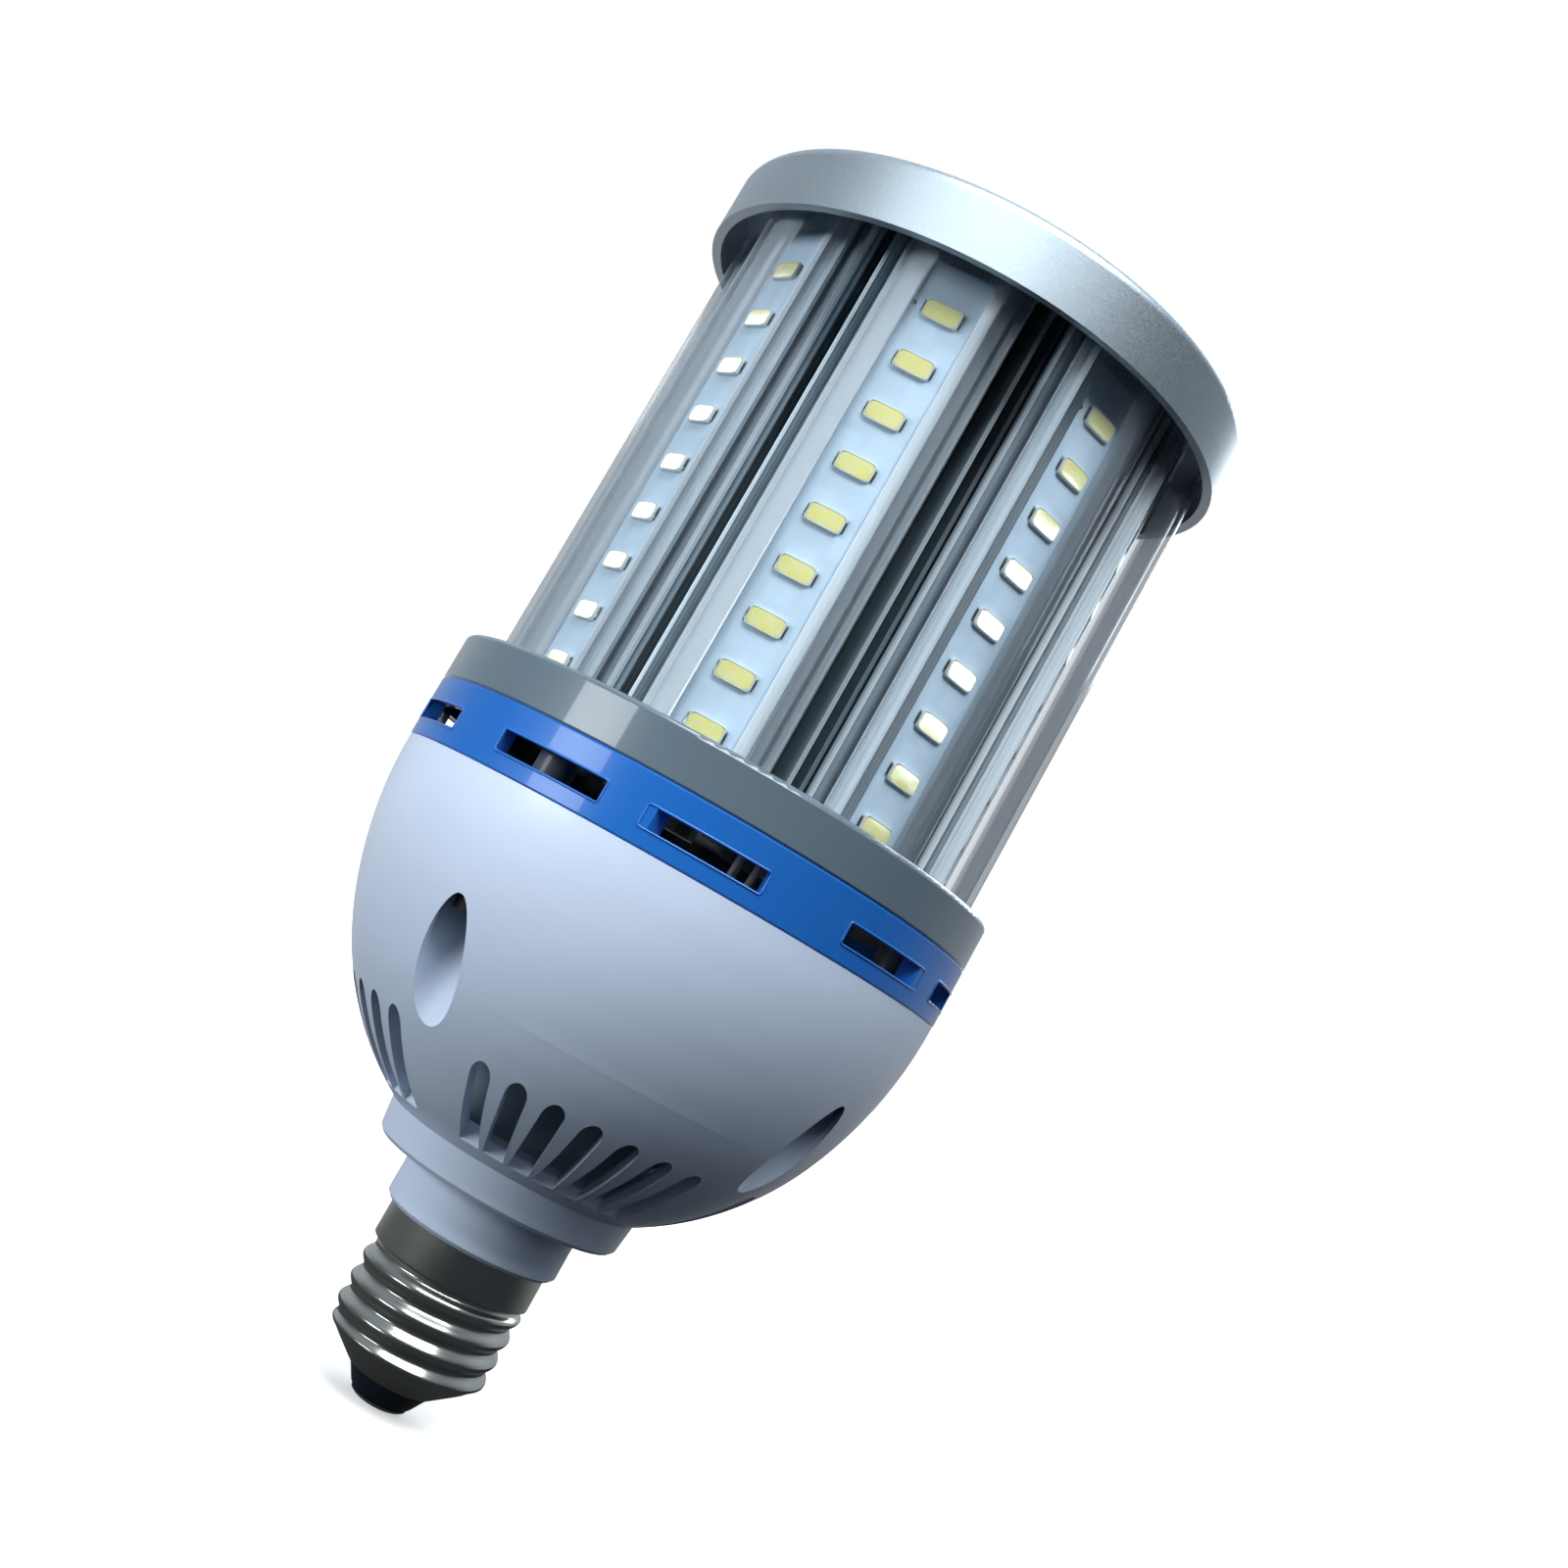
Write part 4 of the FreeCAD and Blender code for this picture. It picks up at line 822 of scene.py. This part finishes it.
@dataclass
class RoundedBlocks:
    """A row of like blocks with round corners, each lofted through rings of one outline.

    The outline is the unit square drawn in by a high power: a direction's cosine and sine are
    divided by the root of the sum of their powers. Each ring scales it and lifts it off the face.
    """

    half_width: float
    half_length: float
    rings: Sequence[tuple[float, float, float]]
    columns: int = 40
    power: float = 9.0

    def mesh(self, name: str, centres: np.ndarray, face_radius: float, strip_angle: float) -> bpy.types.Mesh:
        """Blocks on a face that looks outwards.

        Args:
            name: the mesh's name.
            centres: (across, height) of each block.
            face_radius: distance of the face from the axis.
            strip_angle: direction of the face, in degrees.

        Returns:
            The mesh of all the blocks.
        """
        turn = np.arange(self.columns) * 2.0 * np.pi / self.columns + np.pi / 4.0
        cosine, sine = np.cos(turn), np.sin(turn)
        size = (np.abs(cosine) ** self.power + np.abs(sine) ** self.power) ** (-1.0 / self.power)
        rings = np.array(self.rings)
        across = centres[:, None, None, 0] + (self.half_width - rings[:, 0])[None, :, None] * cosine * size
        along = centres[:, None, None, 1] + (self.half_length - rings[:, 1])[None, :, None] * sine * size
        out = face_radius + rings[:, 2][None, :, None] + np.zeros_like(across)
        angle = math.radians(strip_angle)
        points = np.stack([
            math.sin(angle) * out + math.cos(angle) * across,
            -math.cos(angle) * out + math.sin(angle) * across,
            along + np.zeros_like(across),
        ], axis=-1)
        rows = len(rings)
        one = grid_faces(rows, self.columns, closed_rows=False)
        shift = np.arange(len(centres))[:, None, None] * rows * self.columns
        faces = (one[None] + shift).reshape(-1, 4).tolist()
        loop = np.arange(self.columns)
        for start in (shift[:, 0, 0]).tolist():
            faces.append((loop + start).tolist())
            faces.append((loop + start + (rows - 1) * self.columns).tolist())
        return make_mesh(name, points, faces, 40.0)


@dataclass
class LightStrip:
    """One strip: its board, packages with their filling and end tabs, and the clear cover."""

    shop: Workshop
    number: int
    package_half_width: float = 2.85 * MM
    package_half_length: float = 1.5 * MM
    package_height: float = 0.75 * MM
    rim: float = 0.2 * MM
    tab_reach: float = 0.3 * MM
    dot_across: float = -4.6 * MM
    count: int = 9

    @property
    def angle(self) -> float:
        """Direction that the strip faces."""
        return STRIP_STEP * (self.number - 1)

    def centres(self) -> np.ndarray:
        """(across, height) of each package, evenly spaced between the outer two."""
        low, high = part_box("led_packages_1")
        first = low.z + self.package_half_length
        last = high.z - self.package_half_length
        height = np.linspace(last, first, self.count)
        return np.stack([np.zeros(self.count), height], axis=-1)

    def face_radius(self) -> float:
        """Distance of the board's face from the axis."""
        return -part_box("led_board_1")[0].y

    def body_blocks(self) -> RoundedBlocks:
        """Package body: wall, soft rim and the tray's slope."""
        top, rim = self.package_height, self.rim
        soft = 0.06 * MM
        return RoundedBlocks(self.package_half_width, self.package_half_length, (
            (0.0, 0.0, 0.0), (0.0, 0.0, top - soft), (soft / 3, soft / 3, top - soft / 3), (soft, soft, top),
            (rim - soft, rim - soft, top), (rim, rim, top - soft), (rim * 1.25, rim * 1.25, top - soft * 4),
        ))

    def gel_blocks(self) -> RoundedBlocks:
        """Filling: a shallow dome from the tray's rim to the middle."""
        start, level, crown = self.rim * 1.02, self.package_height - 0.03 * MM, 0.02 * MM
        share = np.array([0.0, 0.15, 0.35, 0.6, 0.8, 0.97])
        width = start + share * (self.package_half_width - start)
        length = start + share * (self.package_half_length - start)
        lift = level + crown * (1.0 - (1.0 - share) ** 2)
        return RoundedBlocks(self.package_half_width, self.package_half_length,
                             list(zip(width, length, lift)), power=6.0)

    def tab_blocks(self) -> RoundedBlocks:
        """Solder fillet at a package's end."""
        return RoundedBlocks(self.tab_reach, self.package_half_length * 0.78, (
            (0.0, 0.0, 0.0), (0.02 * MM, 0.04 * MM, 0.16 * MM), (0.12 * MM, 0.16 * MM, 0.30 * MM),
            (0.24 * MM, 0.4 * MM, 0.36 * MM),
        ), columns=20, power=4.0)

    def solder_dot(self) -> RoundedBlocks:
        """Round solder bump beside the first package."""
        reach = 0.45 * MM
        return RoundedBlocks(reach, reach, (
            (0.0, 0.0, 0.0), (0.04 * MM, 0.04 * MM, 0.1 * MM), (0.2 * MM, 0.2 * MM, 0.2 * MM),
            (0.4 * MM, 0.4 * MM, 0.24 * MM),
        ), columns=20, power=2.0)

    def build(self) -> None:
        """Makes and dresses the strip's pieces."""
        number, angle, face = self.number, self.angle, self.face_radius()
        middles = self.centres()
        self.shop.dress("led_board_%d" % number, Slot.BOARD)
        self.shop.dress("strip_cover_%d" % number, Slot.COVER)
        body = self.body_blocks().mesh("light_packages_%d" % number, middles, face, angle)
        self.shop.piece("light_packages_%d" % number, body, Slot.PACKAGE, "led_packages_%d" % number)
        gel = self.gel_blocks().mesh("light_gel_%d" % number, middles, face, angle)
        self.shop.piece("light_gel_%d" % number, gel, Slot.PHOSPHOR, "led_gel_%d" % number)
        reach = self.package_half_width + self.tab_reach * 0.4
        ends = np.concatenate([middles + (side * reach, 0.0) for side in (-1.0, 1.0)])
        tabs = self.tab_blocks().mesh("package_tabs_%d" % number, ends, face, angle)
        self.shop.piece("package_tabs_%d" % number, tabs, Slot.NICKEL)
        beside = middles[:1] + (self.dot_across, 0.0)
        dot = self.solder_dot().mesh("solder_dot_%d" % number, beside, face, angle)
        self.shop.piece("solder_dot_%d" % number, dot, Slot.NICKEL)


@dataclass
class Casing:
    """The mouldings, the extrusion and the cap, which keep their packed forms."""

    shop: Workshop

    def build(self) -> None:
        """Dresses the nodes."""
        for node, slot in {
            "driver_housing": Slot.WHITE,
            "vent_ring": Slot.BLUE,
            "collar_ring": Slot.GREY,
            "heat_sink": Slot.ALUMINIUM,
            "top_cap": Slot.CAP,
            "cap_screws": Slot.SCREW,
            "sink_screws": Slot.SCREW,
            "housing_screws": Slot.SCREW,
        }.items():
            self.shop.dress(node, slot)


@dataclass
class SlotLips:
    """Thin rounded lips round the vent ring's slots.

    Each lip is a round bead carried along the slot's outline. The outline is a rectangle with
    round corners in arc length and height, laid round the ring.
    """

    shop: Workshop
    centres: tuple[float, ...] = (-55.75, -18.75, 12.2, 52.6, 83.15)
    width: float = 23.2
    low: float = 92.6 * MM
    high: float = 96.0 * MM
    bead: float = 0.2 * MM
    corner: float = 0.3 * MM
    path_points: int = 120
    bead_points: int = 8

    def outline(self, radius: float) -> np.ndarray:
        """Evenly spaced (across, height) points, anticlockwise from the lower right corner."""
        half = math.radians(self.width / 2.0) * radius
        rise = (self.high - self.low) / 2.0
        quarter = np.linspace(0.0, np.pi / 2.0, 5)
        corners = [
            np.stack([
                across * (half - self.corner) + self.corner * np.cos(quarter + start),
                along * (rise - self.corner) + self.corner * np.sin(quarter + start),
            ], axis=-1)
            for across, along, start in (
                (1.0, -1.0, -np.pi / 2.0), (1.0, 1.0, 0.0), (-1.0, 1.0, np.pi / 2.0), (-1.0, -1.0, np.pi),
            )
        ]
        path = np.concatenate(corners + [corners[0][:1]])
        length = np.concatenate([[0.0], np.cumsum(np.linalg.norm(np.diff(path, axis=0), axis=1))])
        places = np.linspace(0.0, length[-1], self.path_points, endpoint=False)
        return np.stack([np.interp(places, length, path[:, axis]) for axis in (0, 1)], axis=-1)

    def mesh(self) -> bpy.types.Mesh:
        """All the lips as closed beads."""
        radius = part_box("vent_ring")[1].x
        path = self.outline(radius)
        ahead = np.roll(path, -1, axis=0) - np.roll(path, 1, axis=0)
        ahead = ahead / np.linalg.norm(ahead, axis=1, keepdims=True)
        side = np.stack([ahead[:, 1], -ahead[:, 0]], axis=-1)
        turn = np.arange(self.bead_points) * 2.0 * np.pi / self.bead_points
        across = path[:, 0:1] + self.bead * side[:, 0:1] * np.cos(turn)
        height = path[:, 1:2] + self.bead * side[:, 1:2] * np.cos(turn) + (self.low + self.high) / 2.0
        out = radius - self.bead * 0.4 + self.bead * np.sin(turn) + np.zeros_like(across)
        middles = np.concatenate([self.centres, np.array(self.centres) + 180.0])[:, None, None]
        x, y = polar(out[None], middles + np.degrees(across / radius)[None])
        points = np.stack([x, y, height[None] + np.zeros_like(x)], axis=-1)
        one = grid_faces(self.path_points, self.bead_points, closed_rows=True)
        shift = np.arange(len(middles))[:, None, None] * self.path_points * self.bead_points
        return make_mesh("slot_lips", points, (one[None] + shift).reshape(-1, 4).tolist(), 80.0)

    def build(self) -> None:
        """Makes the lips."""
        self.shop.piece("slot_lips", self.mesh(), Slot.BLUE)


@dataclass
class Driver:
    """The driver board with its parts and the lamp's wires."""

    shop: Workshop

    def build(self) -> None:
        """Dresses the nodes."""
        for node, slot in {
            "vent_guard": Slot.BLACK,
            "driver_board": Slot.DRIVER_BOARD,
            "transformer_core": Slot.FERRITE,
            "transformer_coil": Slot.TAPE,
            "bulk_capacitor": Slot.SLEEVE,
            "output_capacitors": Slot.SLEEVE,
            "choke": Slot.WINDING,
            "film_capacitor": Slot.FILM,
            "bridge_rectifier": Slot.BLACK,
            "power_switch": Slot.BLACK,
            "fuse_resistor": Slot.RESISTOR,
            "contact_lead": Slot.WIRE,
            "shell_lead": Slot.WIRE,
            "supply_leads": Slot.WIRE,
            "strip_links": Slot.WIRE,
        }.items():
            self.shop.dress(node, slot)


GLOSSY_TOPS = ("light_gel", "package_tabs")
STRIP_FACES = ("led_board", "light_packages", "light_gel")


@dataclass
class SoftBox:
    """A large soft lamp aimed at the middle of the object, which can be kept to some pieces."""

    name: str
    azimuth: float
    elevation: float
    distance: float
    width: float
    height: float
    power: float
    colour: Colour = (0.92, 0.97, 1.0)
    use: Use = Use.BOTH
    only_on: tuple[str, ...] = ()
    aim: float = 0.11

    def build(self) -> None:
        """Adds the lamp, which the camera doesn't see."""
        level = math.cos(math.radians(self.elevation)) * self.distance
        x, y = polar(level, self.azimuth)
        z = self.aim + math.sin(math.radians(self.elevation)) * self.distance
        data = bpy.data.lights.new(self.name, "AREA")
        data.shape = "RECTANGLE"
        data.size, data.size_y = self.width, self.height
        data.energy = self.power
        data.color = self.colour
        lamp = bpy.data.objects.new(self.name, data)
        place = Vector((x, y, z))
        facing = (Vector((0.0, 0.0, self.aim)) - place).to_track_quat("-Z", "Y")
        lamp.matrix_world = Matrix.Translation(place) @ facing.to_matrix().to_4x4()
        lamp.visible_camera = False
        lamp.visible_diffuse, lamp.visible_glossy = self.use.value
        if self.only_on:
            lit = bpy.data.collections.new(self.name + "_reach")
            for item in bpy.data.objects:
                if item.name.startswith(self.only_on):
                    lit.objects.link(item)
            lamp.light_linking.receiver_collection = lit
        bpy.context.scene.collection.objects.link(lamp)
        LOG.info("lit by %s", self.name)


@dataclass
class Studio:
    """Floor and surroundings that the camera sees as white, and soft lamps.

    A fade is its start, its end, and the level before and after. The floor's run over metres, and
    the air's over the parts of a direction. Reflections see both dimmer than the camera does.
    """

    floor_radius: float = 4.0
    floor_glow: Fade = (0.05, 0.6, 0.5, 1.0)
    floor_left: Fade = (-0.13, 0.05, 0.12, 0.005)
    floor_behind: Fade = (0.02, 0.2, 0.0, 0.35)
    floor_far: Fade = (0.3, 1.4, 0.0, 0.2)
    air_behind: Fade = (-0.1, 0.8, 0.03, 0.45)
    air_above: Fade = (0.1, 0.9, 0.0, 0.3)
    air_left: Fade = (-0.9, -0.2, 0.12, 0.0)
    air_fill: Fade = (0.02, 0.42, 0.01, 0.33)
    lamps: tuple[SoftBox, ...] = (
        SoftBox("front_softbox", 11.0, 59.0, 1.0, 0.9, 0.55, 14.6),
        SoftBox("window_light", -55.0, 4.0, 0.9, 0.6, 0.28, 5.2, use=Use.LIGHT),
        SoftBox("window", -43.0, 3.0, 0.9, 0.37, 0.13, 1.2, use=Use.SHINE),
        SoftBox("cap_softbox", -16.0, 32.0, 1.0, 1.1, 0.4, 3.8, use=Use.SHINE, only_on=("top_cap",)),
        SoftBox("strip_fill", 28.0, 38.0, 1.0, 0.5, 0.4, 9.6, use=Use.LIGHT, only_on=STRIP_FACES),
        SoftBox("arm_light", -6.0, 14.0, 1.0, 1.3, 0.4, 7.0, use=Use.SHINE, only_on=("heat_sink",)),
        SoftBox("left_strip_light", -95.0, 14.6, 1.0, 0.45, 0.29, 2.6, use=Use.SHINE, only_on=GLOSSY_TOPS),
        SoftBox("right_strip_light", 92.0, 15.5, 1.0, 0.45, 0.20, 3.3, use=Use.SHINE, only_on=GLOSSY_TOPS),
        SoftBox("back_softbox", 172.0, 36.0, 1.0, 0.8, 0.7, 8.0),
    )

    def floor(self) -> None:
        """Round floor that looks white to the camera and keeps the object's soft shadow."""
        rows, columns = 24, 96
        radius = np.linspace(0.002, 1.0, rows)[:, None] ** 2 * self.floor_radius + 0.001
        x, y = polar(radius, np.arange(columns)[None, :] * 360.0 / columns)
        points = np.stack([x, y, np.zeros_like(x)], axis=-1)
        faces = grid_faces(rows, columns, closed_rows=False).tolist()
        faces.append(list(range(columns)))
        mesh = bpy.data.meshes.new("studio_floor")
        mesh.from_pydata(points.reshape(-1, 3).tolist(), [], faces)
        material = bpy.data.materials.new("floor_paint")
        tree = ShaderTree(material)
        place = tree.place()
        reach = tree.length(place)
        across, behind, _ = tree.parts(place)
        level = across.step(*self.floor_left) + behind.step(*self.floor_behind)
        level = level + reach.step(*self.floor_far)
        mirrored = (tree.ray(Ray.GLOSSY) + tree.ray(Ray.TRANSMITTED)) * level
        seen = tree.ray(Ray.CAMERA) * reach.step(*self.floor_glow) + mirrored
        light = tree.node("ShaderNodeEmission", None, {"Color": (1.0, 1.0, 1.0, 1.0), "Strength": seen})
        grain = tree.noise(place, 60.0, 2.0)
        paint_colour = tree.mix(grain, (0.78, 0.79, 0.80), (0.82, 0.83, 0.84))
        matt = tree.node("ShaderNodeBsdfDiffuse", None, {"Color": paint_colour})
        hidden = tree.node("ShaderNodeBsdfDiffuse", None, {"Color": (0.02, 0.023, 0.026, 1.0)})
        paint = tree.node("ShaderNodeMixShader", None, {0: tree.ray(Ray.CAMERA), 1: hidden, 2: matt})
        tree.show(tree.node("ShaderNodeAddShader", None, {0: paint, 1: light}))
        mesh.materials.append(material)
        floor = bpy.data.objects.new("studio_floor", mesh)
        bpy.context.scene.collection.objects.link(floor)

    def surroundings(self) -> None:
        """World: white to the camera, pale behind and above and dim in front for shine and fill."""
        world = bpy.data.worlds.new("studio_air")
        bpy.context.scene.world = world
        tree = ShaderTree(world)
        way = tree.node("ShaderNodeTexCoord", output="Generated")
        across, behind, above = tree.parts(way)
        shine = behind.step(*self.air_behind) + above.step(*self.air_above)
        shine = shine + across.step(*self.air_left)
        fill = above.step(*self.air_fill)
        glossy = tree.ray(Ray.GLOSSY) + tree.ray(Ray.TRANSMITTED)
        level = glossy * shine + (1.0 - glossy) * fill
        camera = tree.ray(Ray.CAMERA)
        level = camera + (1.0 - camera) * level
        colour = tree.mix(camera, (0.84, 0.92, 1.0), (1.0, 1.0, 1.0))
        back = tree.node("ShaderNodeBackground", None, {"Color": colour, "Strength": level})
        tree.show(back, "ShaderNodeOutputWorld")

    def build(self) -> None:
        """Makes floor, surroundings and lamps."""
        self.floor()
        self.surroundings()
        for lamp in self.lamps:
            lamp.build()


@dataclass
class PhotoCamera:
    """Camera at the viewing angle of the photograph."""

    eye: tuple[float, float, float] = (0.04838, -0.26968, 0.07954)
    target: tuple[float, float, float] = (0.00764, 0.00115, 0.11245)
    roll: float = 29.489
    lens: float = 39.827
    sensor: float = 36.0

    def build(self) -> None:
        """Adds the camera: it looks at the target and is then rolled about its own axis."""
        data = bpy.data.cameras.new("photo_camera")
        data.lens = self.lens
        data.sensor_width = self.sensor
        data.clip_start = 0.01
        camera = bpy.data.objects.new("photo_camera", data)
        way = Vector(self.target) - Vector(self.eye)
        facing = way.to_track_quat("-Z", "Y").to_matrix().to_4x4()
        roll = Matrix.Rotation(math.radians(self.roll), 4, "Z")
        camera.matrix_world = Matrix.Translation(self.eye) @ facing @ roll
        bpy.context.scene.collection.objects.link(camera)
        bpy.context.scene.camera = camera


def clear_start_scene() -> None:
    """Removes whatever a new file holds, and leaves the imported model."""
    packed = set(frame["nodes"].values()) | set(frame["bodies"].values())
    for item in list(bpy.data.objects):
        if item not in packed:
            bpy.data.objects.remove(item)


def main() -> None:
    """Builds the lamp's looks and the studio in order."""
    logging.basicConfig(level=logging.INFO, format="%(name)s: %(message)s")
    clear_start_scene()
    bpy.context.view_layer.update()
    bpy.context.scene.view_settings.view_transform = "Standard"
    shop = Workshop()
    Casing(shop).build()
    SlotLips(shop).build()
    ScrewBase(shop).build()
    for number in STRIPS:
        LightStrip(shop, number).build()
    Driver(shop).build()
    Studio().build()
    PhotoCamera().build()


if __name__ == "__main__":
    main()
